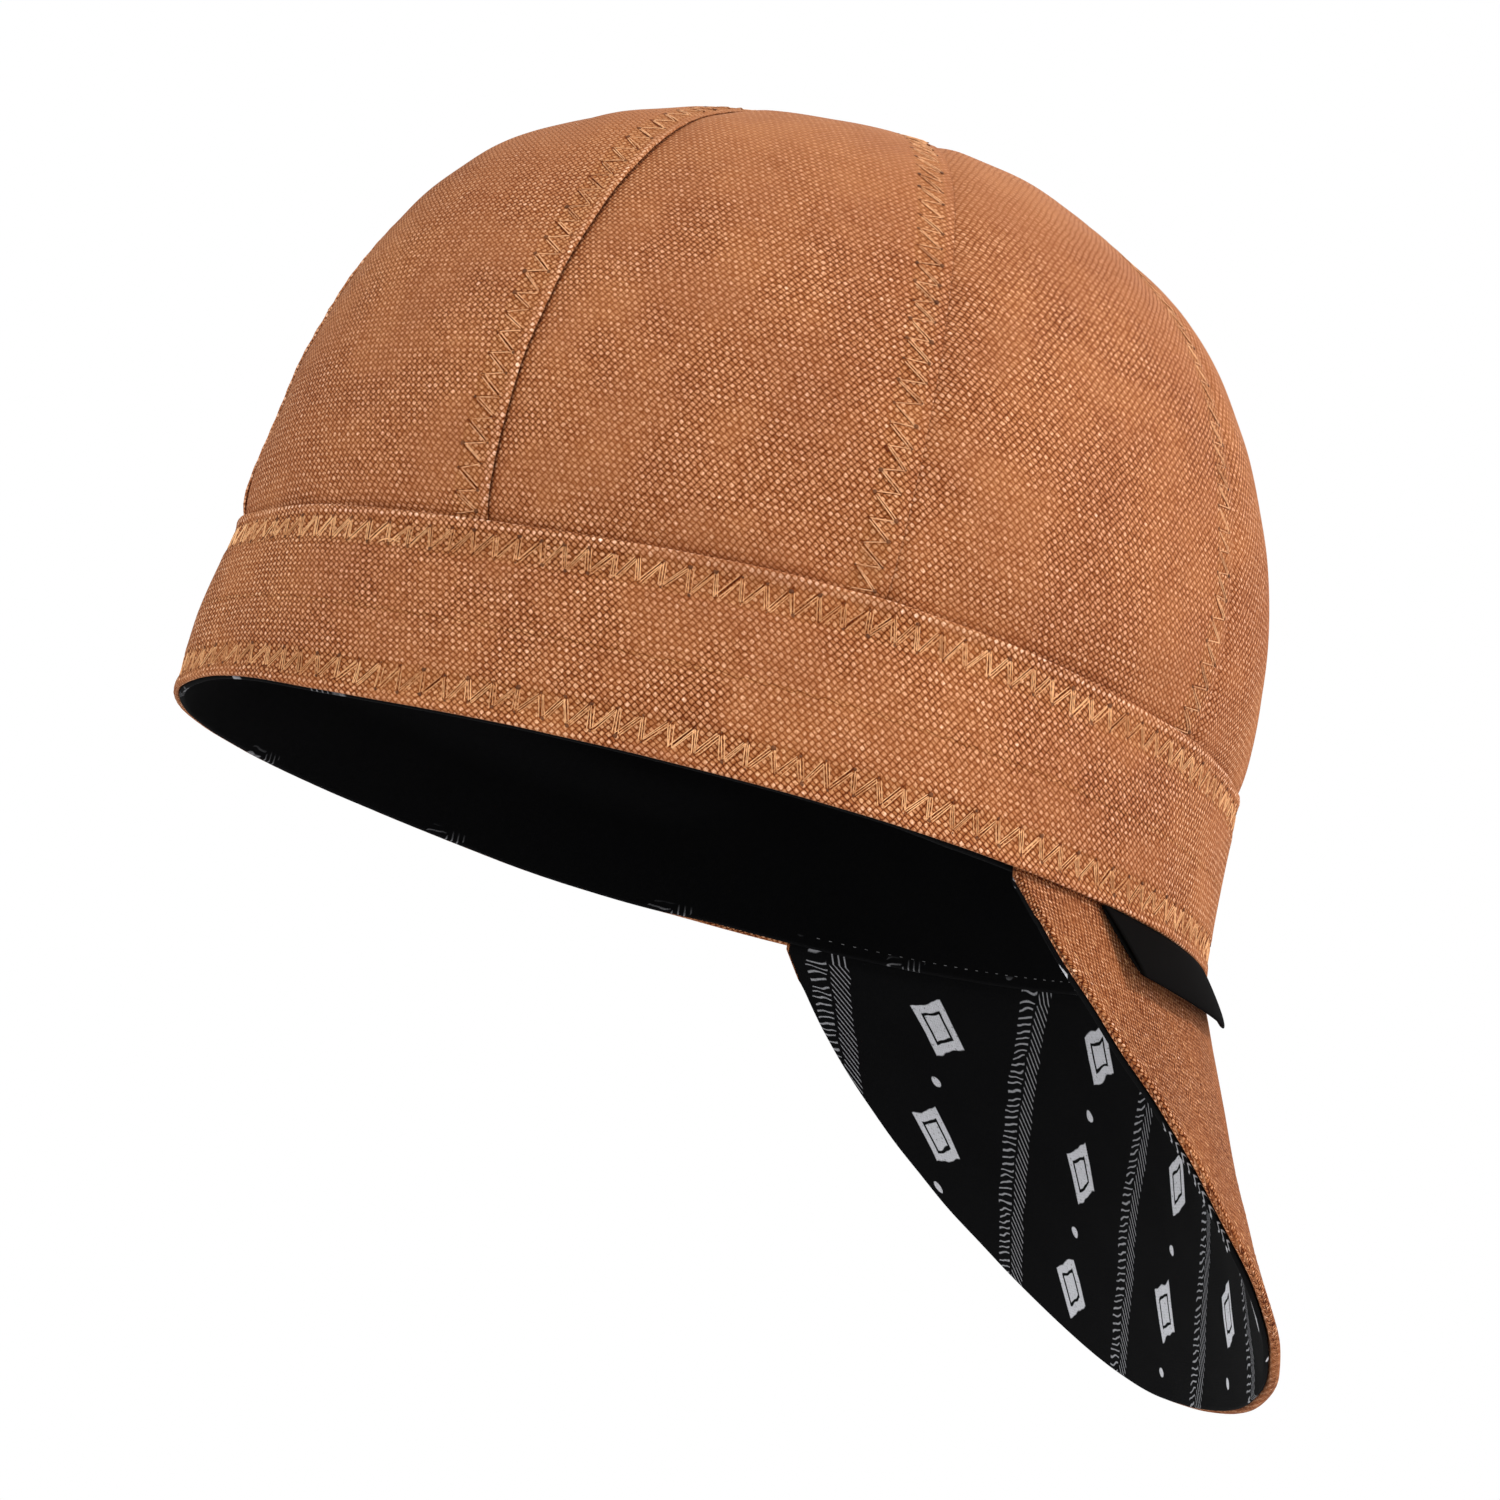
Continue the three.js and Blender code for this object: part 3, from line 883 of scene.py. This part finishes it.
stitch_random = np.random.default_rng(11)
leg_steps = 6
lowest_stitch = 0.2 * mm
strand_apart = 0.42 * mm
band_strands = (-0.4 * mm, 0.0, 0.4 * mm)
strand_jitter = 0.11 * mm
leg_bow = 0.14 * mm
leg_sink = 0.2 * mm
leg_bow_spread = (0.25, 1.3)
stitch_jitter = 0.17 * mm


def legs(starts, ends):
    """Points along straight legs between places in two cloth directions, and how high they stand."""
    share = np.linspace(0, 1, leg_steps)[None, :, None]
    points = starts[:, None] + (ends - starts)[:, None] * share
    bow = leg_bow * stitch_random.uniform(*leg_bow_spread, (len(starts), 1))
    rise = (bow + leg_sink) * np.sin(np.pi * share[..., 0]) ** 0.5 - leg_sink
    return points, rise


def beside(starts, ends, offset):
    """The same legs moved sideways."""
    heading = ends - starts
    heading = heading / np.linalg.norm(heading, axis=-1, keepdims=True)
    sideways = np.stack([-heading[:, 1], heading[:, 0]], -1)
    at_start = offset + stitch_random.normal(0, strand_jitter, (len(starts), 1))
    at_end = offset + stitch_random.normal(0, strand_jitter, (len(starts), 1))
    return starts + sideways * at_start, ends + sideways * at_end


def crown_stitching(panel):
    _, lengths = seam_meridians[panel]
    periods = int((lengths[-1] - crown_stitch_end) / crown_stitch_period)
    tops = seam_starts[panel] + (np.arange(periods) + 1) * crown_stitch_period
    jitter = stitch_random.normal(0, stitch_jitter, (periods, 4))
    left = np.stack([crown_stitch_middle + crown_stitch_reach + jitter[:, 0], tops + jitter[:, 1]], -1)
    right = np.stack([crown_stitch_middle - crown_stitch_reach + jitter[:, 2],
                      tops - crown_stitch_lean * crown_stitch_period + jitter[:, 3]], -1)
    next_left = np.concatenate([left[:1] - [0, crown_stitch_period], left[:-1]])
    strands = []
    for starts, ends, offset in (
            (left, right, strand_apart / 2), (left, right, -strand_apart / 2), (right, next_left, 0.0)):
        flat, lift = legs(*beside(starts, ends, offset))
        strands.append(panel_spot(panel, flat[..., 0], np.maximum(flat[..., 1], lowest_stitch), lift))
    thread_object(f"crown_stitching_{panel + 1}", strands, crown_thread_radius, crown_thread)
    ends = np.concatenate([left, right])
    return panel_spot(panel, ends[:, 0], np.maximum(ends[:, 1], lowest_stitch), 0.0)


# Band

band_columns = 600
band_roll = 0.3 * mm
band_edge_radius = 0.34 * mm
hem_height = 2.6 * mm
hem_swell = 0.25 * mm
band_groove = 0.28 * mm
band_pucker = 0.14 * mm
band_pucker_width = 1.6 * mm
band_zone = 2.8 * mm
# How far over the upper row of stitches the edge's roll starts and ends
band_roll_from, band_roll_to = 2.4 * mm, 4 * mm
hem_fade = 1 * mm
band_top = band_height - layer_gap
band_heights = np.concatenate([
    [0, 0.15 * mm, 0.4 * mm], np.linspace(0.8 * mm, 9 * mm, 14), np.linspace(11 * mm, 24 * mm, 7),
    np.linspace(25.5 * mm, band_top - 0.9 * mm, 14), [band_top - 0.5 * mm, band_top - 0.2 * mm, band_top]])
# The band's weave is shifted from the crown's, in metres of cloth
band_weave_shift = 1.7
# Lighter lines along both rolled edges, painted highlights where the edges catch the light: strength, height
# and half width
band_edge_painted_highlights = ((0.6, band_top - 0.6 * mm, 0.7 * mm), (0.12, 0.8 * mm, 0.8 * mm))
# Painted shade in the grooved zones of the stitches
band_zone_painted_shade = 0.1
band_stitch_heights = (band_top_stitch_height, band_rim_stitch_height)
level_rise = 0.98
band_periods = round(girth / band_stitch_period)


def zone_share(height, middle):
    """How far a height lies in the flattened zone of a row of stitches."""
    return np.exp(-((height - middle) / band_zone) ** 4)


def band_relief(place, height):
    """Height of the band's face at a place round the girth and a height above the rim."""
    over_stitches = height - band_top_stitch_height
    relief = band_roll * soft_step(over_stitches, band_roll_from, band_roll_to)
    relief = relief + hem_swell * (1 - soft_step(height, hem_height - hem_fade, hem_height + hem_fade))
    pucker = band_pucker * np.cos(full_turn * place / girth * band_periods)
    for middle in band_stitch_heights:
        relief = relief - band_groove * zone_share(height, middle)
        relief = relief + pucker * bell(np.abs(height - middle), band_stitch_reach, band_pucker_width)
    return relief


def band_rise(turn, height):
    droop = rim_droop_at(turn) * (1 - height / band_height)
    return rise_at(height * (1 + band_climb_at(turn) / band_height) - droop)


def band_spot(place, height, lift):
    turn = turn_at_share(place / girth)
    rise = band_rise(turn % full_turn, height)
    points = skin(turn, rise, band_stand + band_relief(place, height) + lift, level_rise)
    return points, cap_normals(turn, np.minimum(rise, level_rise))


def band_cloth():
    places = np.arange(band_columns) * girth / band_columns
    place, height = np.meshgrid(places, band_heights)
    turn = turn_at_share(place / girth)
    rise = band_rise(turn, height)
    relief = band_relief(place, height)
    edge = rounded(height, band_edge_radius) + rounded(band_top - height, band_edge_radius)
    front = skin(turn, rise, band_stand + relief - edge, level_rise)
    back = skin(turn, rise, band_stand - band_wall + np.minimum(edge, band_wall / 3), level_rise)
    around = np.append(places, girth)
    cloth = np.stack(np.meshgrid(around, band_heights + band_weave_shift), -1)
    half_way = (band_top_stitch_height + band_rim_stitch_height) / 2
    nearest = np.where(band_heights > half_way, band_top_stitch_height, band_rim_stitch_height)
    side = zigzag_side(band_heights, nearest, band_stitch_reach)
    stitch = np.stack(np.meshgrid(-around / girth * band_periods, side), -1)
    # Painted highlights along the band's edges and painted shade in its stitched zones
    painted_light_wear_and_ink = sum(strength * bell(height, middle, half) for strength, middle, half in band_edge_painted_highlights)
    painted_light_wear_and_ink = painted_light_wear_and_ink - band_zone_painted_shade * sum(zone_share(height, middle) for middle in band_stitch_heights)
    piece = sheet("band_cloth", front, back, band_canvas, cloth, stitch, painted_light_wear_and_ink, ring=True)
    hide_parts("band")


def band_stitching(name, middle):
    period = girth / band_periods
    jitter = stitch_random.normal(0, stitch_jitter, (band_periods, 4))
    place = np.arange(band_periods) * period
    high = np.stack([place + jitter[:, 0], middle + band_stitch_reach + jitter[:, 1]], -1)
    low = np.stack([place - band_stitch_lean * period + jitter[:, 2],
                    middle - band_stitch_reach + jitter[:, 3]], -1)
    next_high = np.concatenate([high[-1:] - [girth, 0], high[:-1]])
    strands = []
    for starts, ends in ((high, low), (low, next_high)):
        for offset in band_strands:
            flat, lift = legs(*beside(starts, ends, offset))
            strands.append(band_spot(flat[..., 0], flat[..., 1], lift))
    thread_object(name, strands, thread_radius, canvas_thread)
    ends = np.concatenate([high, low])
    return band_spot(ends[:, 0], ends[:, 1], 0.0)


loose_stitch_turns = (144 * degree, 147 * degree)
loose_stitch_heights = (29.0 * mm, 28.4 * mm)
loose_stitch_bow = 0.55 * mm
loose_stitch_radius = thread_radius * 1.4
loose_stitch_steps = 12


def loose_stitch():
    """One slack stitch that stands off the band at the forehead's side."""
    share = np.linspace(0, 1, loose_stitch_steps)
    turn = np.interp(share, (0, 1), loose_stitch_turns)
    place = np.interp(turn, girth_turns, girth_lengths)
    arch = np.sin(np.pi * share)
    height = np.interp(share, (0, 1), loose_stitch_heights) + loose_stitch_bow * arch
    paths, normals = band_spot(place, height, loose_stitch_bow * arch)
    thread_object("loose_stitch", [(paths[None], normals[None])], loose_stitch_radius, canvas_thread)


# Lining

lining_columns = 180
lining_band_rows, lining_crown_rows = 16, 56
lining_edge_rises = (0.008, 0.02)
lining_edge_radius = 0.4 * mm
lining_clear_turn = bill_half_turn + 7.5 * degree
# The print shows only in a thin strip along the rim; above it the lining is left plain black, painted shade
# for the hollow
lining_ink_heights = (0, 1.1 * mm)
lining_ink_turns = (136 * degree, 142 * degree)
lining_rim_ink = 0.55
lining_crown_rise = 1 - (crown_tuck + layer_gap) / band_height
lining_band_rise = lining_crown_rise - lining_ramp_height / band_height


def lining_depth_at(turn, rise):
    from_back = np.abs(np.arctan2(np.sin(turn), np.cos(turn)))
    behind_crown = np.clip((rise - lining_band_rise) / (lining_crown_rise - lining_band_rise), 0, 1)
    behind_bill = 1 - np.clip((from_back - lining_clear_turn) / lining_ramp_turn, 0, 1)
    return lining_depth * np.maximum(behind_crown, behind_bill)


def lining_cloth():
    low = np.linspace(lining_rim_setback / band_height, 1, lining_band_rows)[:-1]
    edge_rises = low[0] + np.array(lining_edge_rises)
    rises = np.concatenate([low[:1], edge_rises, low[1:], rises_to_apex(lining_crown_rows)])
    places = np.arange(lining_columns) * girth / lining_columns
    place, rise = np.meshgrid(places, rises)
    turn = turn_at_share(place / girth)
    depth = lining_depth_at(turn, rise)
    edge = rounded((rise - rises[0]) * band_height, lining_edge_radius)
    # Print only along the rim; the unprinted lining inside the hollow is painted shade
    ink = lining_rim_ink * (1 - soft_step(rise * band_height, *lining_ink_heights))
    ink = ink * soft_step(turn, *lining_ink_turns)
    rise = rise - rim_droop_at(turn) / band_height * np.clip(1 - rise, 0, 2)
    front = skin(turn, rise, -depth - edge)
    back = skin(turn, rise, -depth - lining_wall + edge)
    up = np.interp(rises, side_rises, side_lengths) - np.clip(1 - rises, 0, 1) * band_height
    cloth = np.stack(np.meshgrid(np.append(places, girth), up), -1)
    piece = sheet("lining_cloth", front, back, lining_print, cloth, painted_light_wear_and_ink=ink, ring=True,
                  cap=True)
    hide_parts("lining")


lining_stitch_height = 2.2 * mm
lining_stitch_step = 2.8 * mm
lining_stitch_half_length = 0.35 * mm
lining_stitch_radius = 0.08 * mm
lining_stitch_half_turn = 62 * degree


def lining_stitching():
    """A row of small pale stitches on the lining's inner face, over the root of the bill."""
    reach = lining_stitch_half_turn / full_turn * girth
    places = np.arange(-reach, reach, lining_stitch_step)
    place = places[:, None] + np.linspace(-1, 1, leg_steps) * lining_stitch_half_length
    turn = turn_at_share(place / girth)
    rise = np.full(place.shape, lining_stitch_height / band_height)
    inner = -lining_depth_at(turn, rise) - lining_wall
    paths = skin(turn, rise, inner - lining_stitch_radius / 2 * np.sin(np.pi * np.linspace(0, 1, leg_steps)))
    strands = [(paths, cap_normals(turn, rise))]
    thread_object("lining_stitching", strands, lining_stitch_radius, pale_thread)


# Bill

bill_columns = 170
bill_shares = np.concatenate([np.linspace(0, 0.94, 58)[1:], [0.955, 0.97, 0.98, 0.988, 0.994, 0.998, 1]])
bill_edge_radius = 0.78 * mm
bill_lining_edge_radius = 0.38 * mm
outline_steps = 160
# The bill is even at its root, and its cloth widens towards the free edge
bill_even_root = 12 * mm
bill_widening = 0.45
bill_weave_shift = np.array([3.1, 2.2])
# Strength, place and half width of the lighter free edge, and the darker root, a painted shade where the bill
# runs in under the band
bill_edge_tone, bill_edge_tone_at, bill_edge_tone_width = 0.2, 0.5 * mm, 1.2 * mm
root_painted_shade = -0.3
# Places where the bill's outline keeps clear of its even curve: turn, half turn, depth
bill_trims = [(-54 * degree, 20 * degree, 4.6 * mm), (22 * degree, 16 * degree, -0.5 * mm)]
bill_far_share = 0.977
bill_rows = (3.4 * mm, 12 * mm, 21 * mm, 30 * mm)
bill_stitch_length = 2.5 * mm
bill_stitch_gap = 0.7 * mm
bill_row_depth, bill_row_width = 0.16 * mm, 0.9 * mm
# Painted shade along the rows of stitches, which lie in shallow grooves: strength and half width
bill_row_painted_shade, bill_row_painted_shade_width = 0.16, 0.8 * mm
bill_thread_radius = thread_radius * 0.8
# How far from each end of its line a row of stitches keeps, and how far from the bill's root
bill_row_from, bill_row_short, bill_row_clear = 3 * mm, 4 * mm, 2 * mm
bill_row_steps = 400


def bill_points(turn, drop):
    share = np.minimum(np.abs(turn) / bill_half_turn, 1)
    flare = bill_flare_middle + bill_flare_gain * share * share
    heading = bill_fan_share * turn
    outward = np.sin(flare) * drop
    points = cap_points(turn, 0 * turn)
    points[..., 0] += np.sin(heading) * outward
    points[..., 1] += np.cos(heading) * outward
    points[..., 2] = -layer_gap - np.cos(flare) * drop
    return points


def bill_outline(along, setback):
    side = np.cos(along)
    power = 2 / bill_roundness
    half_turn = bill_half_turn - setback / rim_half_length
    turn = -np.sign(side) * np.abs(side) ** power * half_turn
    turn = np.where(turn < 0, turn * bill_far_share, turn)
    reach = bill_reach - setback
    for trim_turn, half, depth in bill_trims:
        reach = reach - depth * bell(turn, trim_turn, half)
    return turn, reach * np.sin(along) ** power


def bill_skin(turn, drop, height):
    points = bill_points(turn, drop)
    normal = -normals_of(bill_points, turn, drop)
    soft = unevenness(points) * soft_step(drop, 0, bill_even_root)
    return points + normal * (height + soft)[..., None], normal


def edge_distance(turn, drop, setback):
    """Distance of each place of the bill from its free outline, by straight lines in space."""
    along = np.linspace(bill_end_angle, np.pi - bill_end_angle, outline_steps)
    outline = bill_points(*bill_outline(along, setback))
    starts, spans = outline[:-1], np.diff(outline, axis=0)
    points = bill_points(turn, drop).reshape(-1, 1, 3)
    share = np.clip(((points - starts) * spans).sum(-1) / (spans ** 2).sum(-1), 0, 1)
    away = np.linalg.norm(points - starts - share[..., None] * spans, axis=-1).min(1)
    return away.reshape(turn.shape)


def bill_layer(name, setback, depth, wall, radius, material, node, quilted):
    along = np.linspace(bill_end_angle, np.pi - bill_end_angle, bill_columns)
    turn, full = bill_outline(along, setback)
    shares = bill_shares[:, None]
    turns = np.repeat(turn[None], len(bill_shares), 0)
    drops = full[None] * shares
    distance = edge_distance(turns, drops, setback)
    relief = 0 * distance
    painted_light_wear_and_ink = bill_edge_tone * bell(distance, bill_edge_tone_at, bill_edge_tone_width)
    if quilted:
        for row in bill_rows:
            relief = relief - bill_row_depth * bell(distance, row, bill_row_width)
            # Painted shade in the groove of each row
            painted_light_wear_and_ink = painted_light_wear_and_ink - bill_row_painted_shade * bell(distance, row, bill_row_painted_shade_width)
    edge = rounded(distance, radius)
    front, _ = bill_skin(turns, drops, -depth + relief - edge)
    back, _ = bill_skin(turns, drops, -depth - wall + edge)

    def rooted(layer):
        root, tucked = (cap_points(turn, rise) - cap_normals(turn, rise) * layer
                        for rise in (0 * turn, bill_tuck / band_height))
        root[:, 2] = -layer_gap
        return np.stack([root, tucked])

    front = np.concatenate([front[::-1], rooted(depth)])
    back = np.concatenate([back[::-1], rooted(depth + wall)])
    across = turn * (rim_half_length + rim_half_width) / 2
    widen = 1 + bill_widening * drops / bill_reach
    u = np.concatenate([(across * widen)[::-1], np.repeat(across[None], 2, 0)])
    v = np.concatenate([-drops[::-1], np.full((1, len(turn)), 0.0), np.full((1, len(turn)), bill_tuck)])
    # The root is darkened with painted shade under the band
    painted_light_wear_and_ink = np.concatenate([painted_light_wear_and_ink[::-1], np.full((2, len(turn)), root_painted_shade)])
    painted_light_wear_and_ink = painted_light_wear_and_ink if quilted else np.ones(painted_light_wear_and_ink.shape)
    cloth = np.stack([u, v], -1) + bill_weave_shift
    piece = sheet(name, front, back, material, cloth, painted_light_wear_and_ink=painted_light_wear_and_ink)
    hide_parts(node)


def bill_stitching():
    strands = []
    for row in bill_rows:
        along = np.linspace(bill_end_angle, np.pi - bill_end_angle, bill_row_steps)
        turn, drop = bill_outline(along, row)
        line = bill_points(turn, drop)
        lengths = np.concatenate([[0], np.cumsum(np.linalg.norm(np.diff(line, axis=0), axis=1))])
        step = bill_stitch_length + bill_stitch_gap
        starts = np.arange(bill_row_from, lengths[-1] - bill_row_short, step)
        spots = starts[:, None] + np.linspace(0, bill_stitch_length, leg_steps)
        turns = np.interp(spots, lengths, turn)
        drops = np.interp(spots, lengths, drop)
        lift = (leg_bow + leg_sink) * np.sin(np.pi * np.linspace(0, 1, leg_steps)) ** 0.5 - leg_sink
        paths, normals = bill_skin(turns, drops, lift - bill_row_depth + 0 * turns)
        keep = drops.min(1) > bill_row_clear
        strands.append((paths[keep], normals[keep]))
    thread_object("bill_stitching", strands, bill_thread_radius, canvas_thread, sides=5)


# Label, a loop of tape sewn in under the band

label_lift = 0.22
label_end_lift = 0.2
label_end_share = 0.25
label_gape = 1.5 * mm
label_back_rise = 0.24
label_width = 50 * mm
label_columns, label_rows = 61, 49
label_loop_power = 0.8
label_inner_gap = label_wall * 0.55


def label_tab():
    across = np.linspace(0, 1, label_columns)
    round_loop = np.linspace(np.pi, 0, label_rows)
    side, loop = np.meshgrid(across, round_loop)
    turn = label_turn_from + (label_turn_to - label_turn_from) * side
    drop = label_drop * (1 - label_back_rise * (1 - side) ** 2) * np.sin(loop) ** label_loop_power
    lift = label_lift + (label_end_lift - label_lift) * (1 - soft_step(side, 0, label_end_share))
    half_gap = label_inner_gap + label_gape / 2 * np.sqrt(np.maximum(np.sin(loop), 0))
    offset = label_stand + label_wall / 2 + lift * drop + half_gap * np.cos(loop)
    along_drop = np.gradient(drop, axis=0)
    along_offset = np.gradient(offset, axis=0)
    length = np.hypot(along_drop, along_offset)
    outward = normals_of(cap_points, turn, 0 * turn)
    outward[..., 2] = 0
    outward /= np.linalg.norm(outward, axis=-1, keepdims=True)

    def layer(half_wall):
        moved_drop = drop + along_offset / length * half_wall
        moved_offset = offset - along_drop / length * half_wall
        return bill_points(turn, moved_drop) + outward * moved_offset[..., None]

    cloth = np.stack([side * label_width, np.cumsum(length, axis=0)], -1)
    front, back = layer(label_wall / 2), layer(-label_wall / 2)
    piece = sheet("label_tab", front, back, label_cloth, cloth)
    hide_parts("label")


# Building the cap

def build_cap():
    holes = []
    for panel in range(panel_count):
        crown_panel(panel)
    band_cloth()
    lining_cloth()
    bill_layer("bill_cloth", 0.0, 0.0, bill_wall, bill_edge_radius, bill_canvas, "bill", True)
    bill_layer("bill_lining_cloth", bill_lining_setback, bill_lining_depth, bill_lining_wall,
               bill_lining_edge_radius, lining_print, "bill_lining", False)
    label_tab()
    for panel in range(panel_count):
        holes.append(crown_stitching(panel))
    holes.append(band_stitching("band_top_stitching", band_top_stitch_height))
    holes.append(band_stitching("band_rim_stitching", band_rim_stitch_height))
    loose_stitch()
    lining_stitching()
    bill_stitching()
    centres = np.concatenate([centre for centre, _ in holes])
    normals = np.concatenate([normal for _, normal in holes])
    radii = hole_radius * stitch_random.uniform(*hole_spread, len(centres))
    # Dark plugs at the needle holes, painted shade
    points, faces = needle_hole_shades(centres, normals, radii)
    make_object("needle_hole_shades", points, faces, hole_shade)


build_cap()


# Camera, at the photograph's angle, with its roll

camera_azimuth = 78.0521 * degree
camera_elevation = -10.9304 * degree
camera_roll = 15.0938 * degree
camera_place = Vector((690.56 * mm, -142.87 * mm, -114.0 * mm))
camera_lens = 88.781
camera_film = 36.0


def make_camera():
    back = Vector((np.sin(camera_azimuth) * np.cos(camera_elevation),
                   -np.cos(camera_azimuth) * np.cos(camera_elevation), np.sin(camera_elevation)))
    level = Vector((np.cos(camera_azimuth), np.sin(camera_azimuth), 0))
    upright = back.cross(level)
    right = np.cos(camera_roll) * level + np.sin(camera_roll) * upright
    up = -np.sin(camera_roll) * level + np.cos(camera_roll) * upright
    data = bpy.data.cameras.new("camera")
    data.lens = camera_lens
    data.sensor_width = camera_film
    camera = in_scene("camera", data)
    camera.matrix_world = Matrix.Translation(camera_place) @ Matrix((right, up, back)).transposed().to_4x4()
    bpy.context.scene.camera = camera


def area_light(name, place, size, power, colour=(1.0, 1.0, 1.0), target=(0, 0, 0.04)):
    data = bpy.data.lights.new(name, "AREA")
    data.shape = "DISK"
    data.size = size
    data.energy = power
    data.color = colour
    light = in_scene(name, data)
    heading = Vector(target) - Vector(place)
    light.rotation_euler = heading.to_track_quat("-Z", "Y").to_euler()
    light.location = place


def make_world(seen, cast):
    """A white surround: one brightness where it is seen and another for the light that it casts."""
    world = bpy.data.worlds.new("surround")
    world.use_nodes = True
    nodes, links = world.node_tree.nodes, world.node_tree.links
    background = nodes["Background"]
    background.inputs["Color"].default_value = (1.0, 1.0, 1.0, 1.0)
    path = nodes.new("ShaderNodeLightPath")
    strength = nodes.new("ShaderNodeMapRange")
    strength.inputs["To Min"].default_value = cast
    strength.inputs["To Max"].default_value = seen
    links.new(path.outputs["Is Camera Ray"], strength.inputs["Value"])
    links.new(strength.outputs["Result"], background.inputs["Strength"])
    bpy.context.scene.world = world


floor_level = -0.36
floor_half_size = 1.6
floor_mottle_scale = 6.0
floor_dark = (0.80, 0.80, 0.80, 1.0)
floor_light = (0.84, 0.84, 0.84, 1.0)


def make_floor():
    mesh = bpy.data.meshes.new("floor")
    half = floor_half_size
    corners = [(-half, -half, floor_level), (half, -half, floor_level), (half, half, floor_level),
               (-half, half, floor_level)]
    mesh.from_pydata(corners, [], [(0, 1, 2, 3)])
    graph = Graph("floor")
    tint = graph.noise(graph.object_place(), floor_mottle_scale)
    mesh.materials.append(graph.finish(graph.mix(tint, floor_dark, floor_light), roughness=0.7))
    floor = in_scene("floor", mesh)


make_camera()
make_world(seen=1.0, cast=0.48)
area_light("key light", (0.75, 0.75, 1.05), 0.3, 12.9, (1.0, 0.965, 0.93))
area_light("side light", (0.45, 1.25, 0.05), 0.7, 5.8)
area_light("fill light", (0.95, -1.15, 0.6), 0.8, 12.9, (0.95, 1.0, 0.97))
area_light("rear light", (-0.9, 0.3, 0.9), 0.8, 5.0)
make_floor()
bpy.context.scene.view_settings.view_transform = "Standard"
